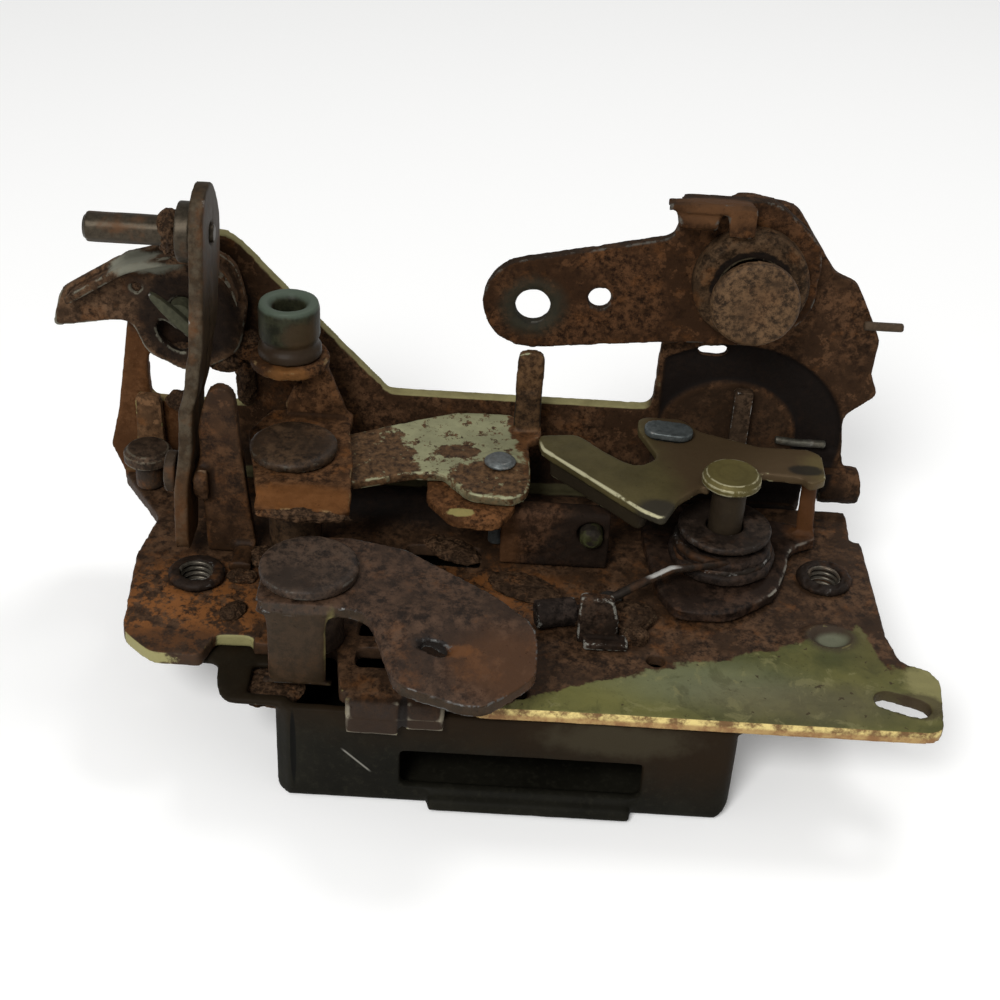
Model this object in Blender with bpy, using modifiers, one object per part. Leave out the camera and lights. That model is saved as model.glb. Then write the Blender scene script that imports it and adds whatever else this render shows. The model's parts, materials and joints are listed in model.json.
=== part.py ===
"""Rotary-claw vehicle door latch, modelled as separate pieces.

Pieces are laid out in millimetres in the latch's own frame: X along the face plate, Y from the inside of
the door towards its outer skin, Z up from the face plate's top face. The parent empty latch_frame carries
everything to world space, whose origin is the centre of the housing's flat underside.
"""

import math

import bmesh
import bpy
from mathutils import Matrix, Vector

MM = 0.001

# Driving dimensions, in millimetres.
SHEET = 2.4
GAP = 0.3
HOUSING_HEIGHT = 18.0
HOUSING_WALL = 1.6
HOUSING_X = (-27.0, 43.4)
HOUSING_Y = (-36.5, 13.5)
FLANGE = 1.2
BACK_Y = 24.6
THREAD_RIGHT = (60.0, 0.0)
THREAD_LEFT = (-43.4, -8.9)
THREAD_BORE = 2.7
COLLAR_RADIUS = 4.6
RELEASE_AXIS = (-23.0, -23.0)
CRANK_AXIS = (-28.7, 2.0)
ROD_EYE = (-31.0, 15.6)
LINK_AXIS = (4.8, 6.2)
FORK_AXIS = (42.3, 0.5)
FORK_RIVET = (33.0, 15.4)
FORK_RIVET_TURN = -8.0
CLAW_AXIS = (24.0, -8.0)
CLAW_PIN = 4.0
PAWL_AXIS = (2.0, 5.0)
PAWL_PIN = 3.0
LATCH_LAYER = (-16.4, -10.6)
KEY_AXIS = (43.5, 45.3)
BEAK_AXIS = (-50.0, 33.0)
REMOTE_AXIS = (1.0, 14.0)
REMOTE_X = (-47.2, -44.9)
LEVER_PLAY = 0.35

HOUSING_TOP = -SHEET - GAP
HOUSING_BASE = HOUSING_TOP - HOUSING_HEIGHT
FRAME_ORIGIN = (
    -(HOUSING_X[0] + HOUSING_X[1]) / 2,
    -(HOUSING_Y[0] + HOUSING_Y[1]) / 2,
    -HOUSING_BASE,
)

# Orientation of an outline: its own X and Y in space, with its normal along the third direction.
FLAT = Matrix.Identity(4)
UPRIGHT_XZ = Matrix.Rotation(math.pi / 2, 4, "X")
UPRIGHT_YZ = Matrix.Rotation(math.pi / 2, 4, "Z") @ Matrix.Rotation(math.pi / 2, 4, "X")


def clear_scene():
    for item in list(bpy.data.objects):
        bpy.data.objects.remove(item, do_unlink=True)


def new_collection(name):
    collection = bpy.data.collections.new(name)
    bpy.context.scene.collection.children.link(collection)
    return collection


clear_scene()
PARTS = new_collection("vehicle_door_latch")


# Materials


def material(name, colour, roughness, metallic):
    made = bpy.data.materials.new(name)
    made.use_nodes = True
    shader = made.node_tree.nodes["Principled BSDF"]
    shader.inputs["Base Color"].default_value = (*colour, 1.0)
    shader.inputs["Roughness"].default_value = roughness
    shader.inputs["Metallic"].default_value = metallic
    made.diffuse_color = (*colour, 1.0)
    return made


RUST = material("rusted_steel", (0.12, 0.055, 0.03), 0.85, 0.2)
RUST_DARK = material("dark_rusted_steel", (0.05, 0.03, 0.022), 0.8, 0.3)
ZINC = material("yellow_zinc", (0.42, 0.4, 0.16), 0.45, 0.7)
LINK_ZINC = material("pale_zinc", (0.3, 0.32, 0.2), 0.6, 0.5)
HOUSING_BLACK = material("housing_black", (0.035, 0.04, 0.035), 0.6, 0.2)
BARE_STEEL = material("bare_steel", (0.2, 0.19, 0.18), 0.4, 0.9)
RIVET_GREY = material("rivet_grey", (0.25, 0.29, 0.31), 0.45, 0.8)
BUSH_GREEN = material("bush_green", (0.06, 0.11, 0.08), 0.5, 0.0)
RUBBER = material("rubber_black", (0.02, 0.02, 0.02), 0.85, 0.0)


# Outlines: lists of (x, y) points in millimetres


def rounded(corners, steps=3):
    """Points of a polygon whose corners (x, y, radius) are rounded by arcs."""
    points = []
    count = len(corners)
    for index, (x, y, radius) in enumerate(corners):
        here = Vector((x, y))
        if radius <= 0:
            points.append((x, y))
            continue
        before = (Vector(corners[index - 1][:2]) - here).normalized()
        after = (Vector(corners[(index + 1) % count][:2]) - here).normalized()
        half = before.angle(after) / 2
        reach = radius / math.tan(half)
        centre = here + (before + after).normalized() * radius / math.sin(half)
        first = here + before * reach - centre
        last = here + after * reach - centre
        turn = first.angle_signed(last)
        for step in range(steps + 1):
            spoke = first.copy()
            spoke.rotate(Matrix.Rotation(-turn * step / steps, 2))
            points.append(tuple(centre + spoke))
    return points


def circle(x, y, radius, sides=20):
    angles = [2 * math.pi * side / sides for side in range(sides)]
    return [(x + radius * math.cos(a), y + radius * math.sin(a)) for a in angles]


def stadium(x, y, length, width, turn=0.0, sides=8):
    """A slot with round ends, its length along X before it is turned by degrees."""
    half = (length - width) / 2
    points = []
    for end, start in ((half, -90), (-half, 90)):
        for side in range(sides + 1):
            angle = math.radians(start + 180 * side / sides)
            points.append(Vector((end + width / 2 * math.cos(angle), width / 2 * math.sin(angle))))
    spin = Matrix.Rotation(math.radians(turn), 2)
    return [(x + p.x, y + p.y) for p in (spin @ point for point in points)]


def rectangle(x_low, x_high, y_low, y_high, radius=0.0):
    corners = [(x_low, y_low), (x_high, y_low), (x_high, y_high), (x_low, y_high)]
    return rounded([(x, y, radius) for x, y in corners])


# Building pieces


def link_mesh(name, mesh, finish):
    made = bpy.data.objects.new(name, mesh)
    PARTS.objects.link(made)
    mesh.materials.clear()
    mesh.materials.append(finish)
    return made


def plate(name, outline, low, high, finish, holes=(), turn=FLAT):
    """A flat plate between two heights along its normal, with holes."""
    curve = bpy.data.curves.new(name, "CURVE")
    curve.dimensions = "2D"
    curve.fill_mode = "BOTH"
    curve.extrude = (high - low) / 2 * MM
    for points in (outline, *holes):
        spline = curve.splines.new("POLY")
        spline.points.add(len(points) - 1)
        for point, (x, y) in zip(spline.points, points):
            point.co = (x * MM, y * MM, 0.0, 1.0)
        spline.use_cyclic_u = True
    lift = Matrix.Translation((0, 0, (low + high) / 2 * MM))
    return curve_to_mesh(name, curve, turn @ lift, finish)


def curve_to_mesh(name, curve, placing, finish):
    helper = bpy.data.objects.new(name + "_curve", curve)
    PARTS.objects.link(helper)
    bpy.context.view_layer.update()
    evaluated = helper.evaluated_get(bpy.context.evaluated_depsgraph_get())
    mesh = bpy.data.meshes.new_from_object(evaluated)
    mesh.transform(placing)
    bpy.data.objects.remove(helper, do_unlink=True)
    weld(mesh)
    return link_mesh(name, mesh, finish)


def weld(mesh):
    shape = bmesh.new()
    shape.from_mesh(mesh)
    bmesh.ops.remove_doubles(shape, verts=shape.verts, dist=1e-6)
    bmesh.ops.recalc_face_normals(shape, faces=shape.faces)
    shape.to_mesh(mesh)
    shape.free()


def wall_xz(name, outline, y_low, y_high, finish, holes=()):
    """A plate standing across Y, whose outline is (x, z)."""
    return plate(name, outline, -y_high, -y_low, finish, holes, UPRIGHT_XZ)


def wall_yz(name, outline, x_low, x_high, finish, holes=()):
    """A plate standing across X, whose outline is (y, z)."""
    return plate(name, outline, x_low, x_high, finish, holes, UPRIGHT_YZ)


def turned(name, profile, centre, finish, turn=FLAT, steps=20):
    """A turned solid from (radius, height) pairs, listed from the top down."""
    mesh = bpy.data.meshes.new(name)
    points = [(radius * MM, 0, height * MM) for radius, height in profile]
    mesh.from_pydata(points, [(i, i + 1) for i in range(len(points) - 1)], [])
    made = link_mesh(name, mesh, finish)
    screw = made.modifiers.new("turn", "SCREW")
    screw.steps = steps
    screw.render_steps = steps
    screw.use_merge_vertices = True
    screw.merge_threshold = 0.000001
    placing = Matrix.Translation(Vector(centre) * MM) @ turn
    return bake(made, placing)


def bake(made, placing=FLAT):
    """Applies the object's modifiers and moves its mesh to where it belongs."""
    bpy.context.view_layer.update()
    evaluated = made.evaluated_get(bpy.context.evaluated_depsgraph_get())
    mesh = bpy.data.meshes.new_from_object(evaluated)
    mesh.transform(placing)
    weld(mesh)
    made.modifiers.clear()
    made.data = mesh
    return made


def pin(name, x, y, sections, finish, steps=20):
    """A stepped pin along Z; sections are (radius, low, high) from the bottom up."""
    return turned(name, pin_profile(sections), (x, y, 0), finish, FLAT, steps)


def pin_profile(sections):
    profile = [(0.0, sections[-1][2])]
    for radius, low, high in reversed(sections):
        profile += [(radius, high), (radius, low)]
    return profile + [(0.0, sections[0][1])]


def join(kept, *added):
    """Unites pieces that overlap into one solid."""
    for other in added:
        union = kept.modifiers.new("join", "BOOLEAN")
        union.operation = "UNION"
        union.solver = "EXACT"
        union.object = other
        bake(kept)
        bpy.data.objects.remove(other, do_unlink=True)
    return kept


def cut(kept, *cutters):
    for other in cutters:
        difference = kept.modifiers.new("cut", "BOOLEAN")
        difference.operation = "DIFFERENCE"
        difference.solver = "EXACT"
        difference.object = other
        bake(kept)
        bpy.data.objects.remove(other, do_unlink=True)
    return kept


def wire(name, points, diameter, finish):
    """A round wire through (x, y, z) points."""
    curve = bpy.data.curves.new(name, "CURVE")
    curve.dimensions = "3D"
    curve.bevel_depth = diameter / 2 * MM
    curve.bevel_resolution = 2
    curve.use_fill_caps = True
    spline = curve.splines.new("POLY")
    spline.points.add(len(points) - 1)
    for point, (x, y, z) in zip(spline.points, points):
        point.co = (x * MM, y * MM, z * MM, 1.0)
    return curve_to_mesh(name, curve, FLAT, finish)


def coil(x, y, radius, z_low, pitch, start, turns, sides=16):
    """Points of a helix about Z, from a start angle in degrees."""
    count = round(turns * sides)
    points = []
    for step in range(count + 1):
        angle = math.radians(start) + 2 * math.pi * step / sides
        height = z_low + pitch * step / sides
        points.append((x + radius * math.cos(angle), y + radius * math.sin(angle), height))
    return points


def folded(name, path, thickness, x_low, x_high, finish):
    """A strip folded along X: path is its (y, z) centre line."""
    left = []
    right = []
    for index, here in enumerate(path):
        here = Vector(here)
        before = Vector(path[max(index - 1, 0)])
        after = Vector(path[min(index + 1, len(path) - 1)])
        along_in = (here - before).normalized() if index else (after - here).normalized()
        along_out = (after - here).normalized() if index < len(path) - 1 else along_in
        along = (along_in + along_out).normalized()
        mitre = thickness / 2 / max(along.dot(along_in), 0.3)
        side = Vector((-along.y, along.x)) * mitre
        left.append(tuple(here + side))
        right.append(tuple(here - side))
    return wall_yz(name, left + right[::-1], x_low, x_high, finish)


def slice_at(made, normal, distance):
    """Adds an edge loop where the plane at this distance along the normal crosses the piece."""
    shape = bmesh.new()
    shape.from_mesh(made.data)
    everything = shape.verts[:] + shape.edges[:] + shape.faces[:]
    where = Vector(normal) * distance * MM
    bmesh.ops.bisect_plane(shape, geom=everything, dist=1e-7, plane_co=where, plane_no=Vector(normal))
    shape.to_mesh(made.data)
    shape.free()


def joggle(made, z_low, z_high, step):
    """Offsets the upper part of an upright lever in X, with a straight slope between two heights."""
    for height in (z_low, z_high):
        slice_at(made, (0, 0, 1), height)
    for vertex in made.data.vertices:
        share = min(max((vertex.co.z / MM - z_low) / (z_high - z_low), 0.0), 1.0)
        vertex.co.x += step * share * MM


def droop(made, y_start, slope):
    """Bends the part of a flat lever in front of y_start downwards."""
    slice_at(made, (0, 1, 0), y_start)
    for vertex in made.data.vertices:
        vertex.co.z -= max(y_start - vertex.co.y / MM, 0.0) * slope * MM


# Fixed pieces


def face_plate():
    outline = rounded([
        (3.0, -36.9, 0.8), (73.2, -36.9, 2.5), (75.4, -22.0, 4.0), (69.6, -20.6, 2.0),
        (68.3, -14.0, 0.5), (68.3, 12.3, 0.3), (66.5, 12.6, 0.3), (66.9, 22.0, 0.3),
        (58.5, 22.0, 0.3), (-62.5, 22.0, 0.5), (-53.2, 8.0, 1.5), (-54.6, -3.0, 2.0),
        (-52.4, -23.5, 5.0), (-47.0, -28.5, 3.0), (-39.2, -28.7, 1.0), (-37.8, -23.3, 0.5),
        (-31.9, -23.0, 0.3), (-31.9, -25.0, 0.5), (-18.7, -25.0, 0.5), (-17.2, -35.2, 0.5),
        (-0.6, -35.2, 0.3), (0.4, -33.2, 0.3), (2.6, -33.2, 0.3),
    ])
    holes = [
        circle(*THREAD_RIGHT, 3.6),
        circle(*THREAD_LEFT, 3.6),
        stadium(68.0, -30.4, 8.8, 4.4, -20),
        circle(30.8, -23.4, 1.6, 12),
        rectangle(-15.8, -11.2, -21.4, -16.0, 0.4),
        rectangle(-15.6, -9.0, -28.8, -24.4, 0.4),
        rectangle(-10.0, 2.5, -1.5, 4.0, 0.6),
        rectangle(5.0, 11.0, -34.6, -31.8, 0.4),
        circle(CLAW_AXIS[0], CLAW_AXIS[1], 2.4, 16),
        circle(PAWL_AXIS[0] + 12.0, PAWL_AXIS[1] + 5.0, 2.0, 12),
    ]
    made = plate("face_plate", outline, -SHEET, 0.0, ZINC, holes)
    long_path = [(-34.0, -1.2), (-36.4, -1.2), (-37.7, -2.5), (-37.7, -5.0)]
    short_path = [(-34.0, -1.2), (-36.4, -1.2), (-37.7, -2.2), (-37.7, -3.7)]
    long_tab = folded("tab", long_path, 2.0, -16.1, -8.0, ZINC)
    short_tab = folded("tab", short_path, 2.0, -6.9, -1.2, ZINC)
    join(made, long_tab, short_tab)


def thread_collar(name, place):
    profile = [
        (THREAD_BORE, 1.6), (COLLAR_RADIUS - 0.5, 1.6), (COLLAR_RADIUS, 1.1), (COLLAR_RADIUS, GAP),
        (3.3, GAP), (3.3, -SHEET), (THREAD_BORE, -SHEET), (THREAD_BORE, 1.6),
    ]
    turned(name, profile, (*place, 0), BARE_STEEL, steps=24)


def back_plate():
    outline = rounded([
        (59.0, 1.5, 0.3), (59.0, 4.5, 0.3), (66.0, 4.5, 0.5), (64.0, 17.5, 1.0), (69.3, 22.5, 1.0),
        (67.6, 26.0, 0.5), (67.8, 33.0, 2.0), (62.5, 43.0, 2.5), (58.6, 44.4, 1.5), (50.5, 56.0, 4.0),
        (41.0, 57.8, 3.0),
        (33.0, 50.0, 3.0), (31.3, 36.0, 1.0), (30.7, 17.3, 1.6), (-15.2, 17.3, 2.5), (-32.0, 34.9, 3.0),
        (-41.8, 45.6, 5.0), (-52.0, 46.0, 5.0), (-60.0, 30.0, 3.0), (-63.0, 11.0, 2.0), (-64.9, 3.5, 2.5),
        (-62.8, -SHEET, 0.6), (59.0, -SHEET, 0.3),
    ])
    holes = [
        rounded([
            (-57.3, 13.4, 1.0), (-39.0, 13.4, 1.0), (-39.0, 18.6, 1.0), (-43.0, 23.0, 2.0),
            (-57.3, 23.0, 2.0),
        ]),
        rectangle(37.3, 42.8, 27.9, 30.0, 0.2),
        circle(KEY_AXIS[0], KEY_AXIS[1], 3.3),
        circle(BEAK_AXIS[0], BEAK_AXIS[1], 2.3, 16),
    ]
    made = wall_xz("back_plate", outline, BACK_Y, BACK_Y + SHEET, RUST, holes)
    fillet = [
        (22.3, -SHEET), (26.0, -SHEET), (26.0, 1.4), (24.7, 1.4), (24.3, 0.4), (23.3, 0.0), (22.3, 0.0),
    ]
    foot = wall_yz("foot", fillet, -62.4, 58.2, RUST)
    rolled = turned("rolled", pin_profile([(3.3, 0.0, 7.4)]), (61.2, 23.7, 4.6), RUST, UPRIGHT_YZ, 14)
    join(made, foot, rolled)


def housing():
    flange = plate("housing", rounded([
        (-35.0, -35.4, 3.0), (48.0, -35.4, 1.0), (48.0, 13.5, 1.0), (-45.0, 13.5, 2.0), (-48.5, -19.0, 2.0),
        (-46.5, -25.6, 3.0), (-37.0, -26.6, 1.0), (-36.4, -31.0, 1.0),
    ]), HOUSING_TOP - FLANGE, HOUSING_TOP, HOUSING_BLACK)
    x_low, x_high = HOUSING_X
    y_low, y_high = HOUSING_Y
    body = plate("body", rounded([
        (x_low, y_low + 2.2, 0.3), (x_low + 2.2, y_low, 0.3), (x_high, y_low, 2.5), (x_high, y_high, 2.5),
        (x_low, y_high, 2.5),
    ]), HOUSING_BASE, HOUSING_TOP, HOUSING_BLACK)
    lip_section = [
        (y_low + 1.0, HOUSING_BASE), (y_low - 1.2, HOUSING_BASE), (y_low - 2.2, HOUSING_BASE + 0.8),
        (y_low - 1.8, HOUSING_BASE + 2.2), (y_low + 1.0, HOUSING_BASE + 3.2),
    ]
    lip = wall_yz("lip", lip_section, -3.4, 28.0, HOUSING_BLACK)
    made = join(flange, body, lip)
    wall = HOUSING_WALL
    hollow = plate("hollow", rounded([
        (x_low + wall, y_low + 3.0, 0.0), (x_low + 3.0, y_low + wall, 0.0),
        (x_high - wall, y_low + wall, 1.5),
        (x_high - wall, y_high - wall, 1.5), (x_low + wall, y_high - wall, 1.5),
    ]), HOUSING_BASE + wall, HOUSING_TOP + 1.0, HOUSING_BLACK)
    slot_outline = rectangle(-7.8, 29.2, HOUSING_BASE + 3.5, -10.0, 0.8)
    slot = wall_xz("slot", slot_outline, y_low - 4.0, y_low + 4.0, HOUSING_BLACK)
    slit_outline = rectangle(-24.4, -23.6, -18.6, -3.6 - FLANGE)
    slit = wall_xz("slit", slit_outline, y_low - 2.0, y_low + 4.0, HOUSING_BLACK)
    tab_slot = plate("tab_slot", rectangle(-31.4, -16.6, -33.4, -26.6, 0.5), -6.0, -1.0, HOUSING_BLACK)
    pivot_holes = [
        pin("pivot_hole", x, y, [(radius + GAP, HOUSING_BASE - 1, HOUSING_BASE + 3)], HOUSING_BLACK)
        for x, y, radius in ((*CLAW_AXIS, CLAW_PIN), (*PAWL_AXIS, PAWL_PIN))
    ]
    thread_hole = pin("thread_hole", *THREAD_LEFT, [(4.0, -6.0, 0.0)], HOUSING_BLACK)
    cut(made, hollow, slot, slit, tab_slot, *pivot_holes, thread_hole)


def latch_pivots():
    low = HOUSING_BASE + 0.2
    high = HOUSING_TOP - GAP
    pin("claw_pivot", *CLAW_AXIS, [(CLAW_PIN, low, high), (2.1, high, 0.0)], BARE_STEEL)
    pin("pawl_pivot", *PAWL_AXIS, [(PAWL_PIN, low, high)], BARE_STEEL)
    buffer_back = HOUSING_Y[1] - HOUSING_WALL - GAP
    wall_xz("striker_buffer", rectangle(12.0, 36.0, -17.5, -9.0, 1.5), 7.2, buffer_back, RUBBER)


def lever_pivots():
    release = [(5.2, GAP, 10.2), (3.2, 10.2, 12.8), (7.6, 12.8, 14.2), (7.0, 14.2, 14.6)]
    crank = [(4.4, GAP, 16.0), (3.0, 16.0, 18.6), (7.1, 18.6, 19.9), (6.5, 19.9, 20.3)]
    link = [(1.4, GAP, 15.9), (2.65, 15.9, 16.5), (2.1, 16.5, 16.9)]
    fork = [(2.8, GAP, 18.3), (4.8, 18.3, 19.6), (4.3, 19.6, 20.2)]
    pin("release_pivot", *RELEASE_AXIS, release, RUST_DARK, 24)
    pin("crank_pivot", *CRANK_AXIS, crank, RUST_DARK, 24)
    pin("link_pivot", *LINK_AXIS, link, RIVET_GREY)
    pin("spring_pin", *FORK_AXIS, fork, ZINC, 24)
    turned("spring_washer", [(3.1, 10.2), (7.5, 10.2), (7.7, 9.9), (7.7, 9.0), (3.1, 9.0), (3.1, 10.2)],
           (*FORK_AXIS, 0), BARE_STEEL, steps=24)


def torsion_spring():
    x, y = FORK_AXIS
    start = [(x + 7.6, y + 6.0, 4.2)]
    turns = coil(x, y, 7.6, 4.2, 1.9, 0.0, 1.75)
    leg = [
        (x - 9.0, y - 9.3, 7.0), (x - 15.0, y - 12.6, 5.6), (x - 21.0, y - 15.6, 3.4),
        (x - 30.6, y - 18.0, 2.8),
    ]
    wire("torsion_spring", start + turns + leg, 1.6, RUST_DARK)


def spring_fittings():
    outline = rounded([(18.4, GAP, 0), (24.8, GAP, 0), (24.6, 5.0, 0.5), (23.6, 8.8, 0.8), (18.4, 9.0, 0.8)])
    post = wall_xz("spring_anchor", outline, -20.6, -18.8, RUST_DARK)
    foot = plate("foot", rectangle(19.4, 26.4, -22.4, -19.4, 0.4), GAP, 1.6, RUST_DARK)
    join(post, foot)
    profile = [(1.15, 3.2), (2.3, 3.2), (2.3, -3.2), (1.15, -3.2), (1.15, 3.2)]
    spin = Matrix.Rotation(math.radians(14.0), 4, "Z") @ Matrix.Rotation(math.pi / 2, 4, "Y")
    turned("spring_sleeve", profile, (14.9, -16.7, 3.0), RUST_DARK, spin, 14)


def stop_block():
    section = rounded([
        (-0.6, GAP, 0.6), (4.4, GAP, 0.6), (4.4, 10.0, 2.0), (2.0, 11.3, 1.5), (-0.6, 11.0, 1.2),
    ])
    block = wall_yz("stop_block", section, 5.6, 23.5, RUST)
    hole = turned("hole", pin_profile([(2.3, -3.0, 3.0)]), (20.5, -1.6, 7.2), RUST, UPRIGHT_XZ, 16)
    cut(block, hole)
    stepped = pin_profile([(1.9, -2.0, 1.2), (1.4, 1.2, 1.7)])
    turned("stop_pin", stepped, (20.5, -0.9, 7.2), ZINC, UPRIGHT_XZ, 16)


def remote_bracket():
    leaf = wall_xz("remote_bracket", rounded([
        (-43.0, GAP, 0), (-34.8, GAP, 0), (-35.8, 10.0, 3.0), (-37.0, 24.0, 3.0),
        (-37.4, 31.5, 2.5), (-41.5, 31.5, 2.5), (-43.4, 24.0, 3.0),
    ]), -1.5, 0.5, RUST)
    hook = folded("hook", [(-7.0, 1.2), (-1.4, 1.2), (-0.5, 2.2)], 1.8, -38.6, -34.8, RUST)
    y, z = REMOTE_AXIS
    boss = turned("boss", pin_profile([(3.2, -44.4, -42.4)]), (0, y - 1.4, z), RUST, UPRIGHT_YZ, 16)
    bridge = wall_yz("bridge", rectangle(-3.0, 1.4, z - 3, z + 3), -43.6, -42.0, RUST)
    join(leaf, hook, bridge, boss)
    head = REMOTE_X[0] - LEVER_PLAY
    pivot = pin_profile([(3.4, -49.4, head), (1.9, head, -44.75)])
    turned("remote_pivot", pivot, (0, y, z), BARE_STEEL, UPRIGHT_YZ, 16)


def ear_fittings():
    """The stud and the upright tab at the left end, whose use the outside doesn't show."""
    pin("ear_stud", -56.6, 17.6, [(2.4, GAP, 5.4), (4.2, 5.4, 7.2), (3.7, 7.2, 7.8)], RUST_DARK)
    outline = rounded([(-59.6, 0.8, 0), (-54.6, 0.8, 0), (-55.0, 15.3, 1.0), (-59.4, 15.3, 1.0)])
    wall_xz("ear_tab", outline, 22.3, 24.0, RUST)


def back_plate_pivots():
    rear = -(BACK_Y + SHEET)
    beak = pin_profile([(2.0, rear, -18.6), (4.0, -18.6, -17.4)])
    key = pin_profile([(3.0, rear, -15.4), (4.6, -15.4, -11.6), (7.1, -11.6, -9.8), (6.6, -9.8, -9.4)])
    turned("beak_pivot", beak, (BEAK_AXIS[0], 0, BEAK_AXIS[1]), BARE_STEEL, UPRIGHT_XZ, 16)
    turned("key_pivot", key, (KEY_AXIS[0], 0, KEY_AXIS[1]), RUST, UPRIGHT_XZ, 28)


def back_plate_trim():
    turned("side_pin", pin_profile([(0.8, 0.0, 6.6)]), (64.2, 23.3, 36.4), RUST, UPRIGHT_YZ, 10)
    wall_xz("lock_bar", rectangle(44.4, 47.6, 8.6, 22.8, 0.3), 22.3, 24.2, RUST)
    wire("clip_wire", [(52.5, 22.9, 13.6), (56.0, 22.9, 13.2), (61.4, 22.9, 13.2)], 1.5, RIVET_GREY)


# Moving pieces


def claw():
    x, y = CLAW_AXIS
    radius = 14.0
    mouth = [
        (x - 10.4, y - 9.0), (x - 9.6, y - 2.4), (x - 6.4, y - 1.6), (x - 5.6, y - 5.0), (x - 3.4, y - 13.4),
    ]
    rim = []
    for degrees in range(270, 570, 10):
        angle = math.radians(degrees)
        rim.append((x + radius * math.cos(angle), y + radius * math.sin(angle)))
    plate("claw", rim + mouth, *LATCH_LAYER, BARE_STEEL, [circle(x, y, CLAW_PIN + GAP)])


def pawl():
    x, y = PAWL_AXIS
    outline = rounded([
        (x - 4.6, y + 4.4, 3.5), (x + 4.6, y + 4.4, 3.5), (x + 4.8, y - 2.0, 2.0), (x + 7.2, y - 13.4, 0.5),
        (x + 3.0, y - 14.6, 0.5), (x - 4.8, y - 3.0, 2.5),
    ])
    plate("pawl", outline, *LATCH_LAYER, BARE_STEEL, [circle(x, y, PAWL_PIN + GAP)])


def latch_springs():
    x, y = CLAW_AXIS
    claw_turns = coil(x, y, 6.2, -9.6, 1.5, 90.0, 2.5, 12)
    wire("claw_spring", claw_turns + [(x + 3.0, y - 12.0, -5.4)], 1.2, BARE_STEEL)
    x, y = PAWL_AXIS
    pawl_turns = coil(x, y, 4.6, -9.6, 1.4, 180.0, 2.5, 12)
    wire("pawl_spring", pawl_turns + [(x + 4.0, y - 7.5, -6.0)], 1.0, BARE_STEEL)


def release_lever():
    outline = rounded([
        (-30.2, -22.0, 3.0), (-30.2, -30.9, 0.5), (-18.2, -30.9, 0.5), (-15.5, -31.2, 1.5),
        (-12.6, -33.0, 1.0), (-8.4, -43.6, 4.0), (4.0, -47.2, 5.0), (12.0, -41.0, 3.0), (11.8, -33.0, 3.0),
        (5.4, -26.0, 3.0), (-9.0, -15.2, 3.0), (-18.0, -12.9, 4.0), (-28.5, -13.6, 4.0),
    ])
    teardrop = rounded([(-7.2, -36.8, 0.8), (-2.0, -38.8, 0.8), (0.8, -37.6, 0.5), (-4.6, -35.4, 0.6)])
    holes = [circle(*RELEASE_AXIS, 3.5), teardrop]
    made = plate("release_lever", outline, 10.5, 12.5, RUST_DARK, holes)
    droop(made, -31.8, 0.3)
    path = [(-29.0, 11.5), (-30.4, 11.5), (-31.1, 10.8), (-31.1, -2.1)]
    tab = folded("tab", path, 1.7, -29.4, -18.6, RUST_DARK)
    join(made, tab)


def crank_lever():
    strip = plate("crank_lever", rounded([
        (-33.2, -9.0, 0.5), (-18.4, -9.0, 0.5), (-18.9, 0.0, 2.0), (-20.6, 11.0, 1.0), (-20.4, 15.8, 0.5),
        (-34.0, 15.8, 0.5), (-37.2, 8.0, 3.0), (-35.2, 0.0, 2.0),
    ]), 16.3, 18.3, RUST, [circle(*CRANK_AXIS, 3.3)])
    lip = folded("lip", [(-8.0, 17.3), (-9.6, 17.3), (-11.0, 16.4), (-12.6, 15.9)], 1.9, -33.0, -18.2, RUST)
    web = wall_xz("web", rounded([
        (-30.5, 17.0, 0.3), (-20.6, 17.0, 0.3), (-24.8, 28.0, 0.5), (-28.0, 28.0, 0.5), (-32.0, 20.0, 0.5),
    ]), 13.8, 15.6, RUST)
    eye = plate("eye", circle(*ROD_EYE, 6.6, 24), 27.1, 29.0, RUST)
    join(strip, lip, web, eye)
    bore = pin("bore", *ROD_EYE, [(2.6, 24.0, 32.0)], RUST, 16)
    cut(strip, bore)


def rod_bushing():
    profile = [
        (2.2, 37.6), (3.0, 38.6), (4.0, 38.6), (4.2, 37.4), (4.2, 32.0), (5.3, 30.6), (5.3, 29.3),
        (2.2, 29.3), (2.2, 37.6),
    ]
    turned("rod_bushing", profile, (*ROD_EYE, 0), BUSH_GREEN, steps=20)


def link_lever():
    top = plate("link_lever", rounded([
        (-22.0, -3.0, 1.0), (-9.5, 2.2, 3.0), (-4.5, 2.6, 2.0), (0.0, -3.2, 4.0), (9.6, -4.4, 4.0),
        (10.0, 5.0, 1.0),
        (9.4, 14.0, 1.0), (11.6, 16.0, 0.5), (11.6, 19.0, 0.5), (6.0, 22.9, 0.6), (-3.0, 22.7, 2.0),
        (-11.0, 18.8, 3.0), (-22.0, 12.6, 2.0),
    ]), 13.8, 15.6, LINK_ZINC, [circle(*LINK_AXIS, 1.7, 12)])
    finger_outline = rounded([(6.6, 14.4, 0), (11.5, 14.4, 0), (11.5, 30.8, 1.8), (6.6, 30.8, 1.8)])
    finger = wall_xz("finger", finger_outline, 17.2, 19.0, RUST)
    join(top, finger)
    plate("link_lower_plate", rounded([
        (-7.2, 8.0, 2.0), (-6.8, -1.5, 4.0), (-2.5, -7.6, 3.0), (5.0, -8.4, 3.0), (7.6, -3.0, 1.5),
        (8.0, 9.5, 1.5),
    ]), 11.8, 13.4, RUST, [circle(*LINK_AXIS, 1.8, 12)])


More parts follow.
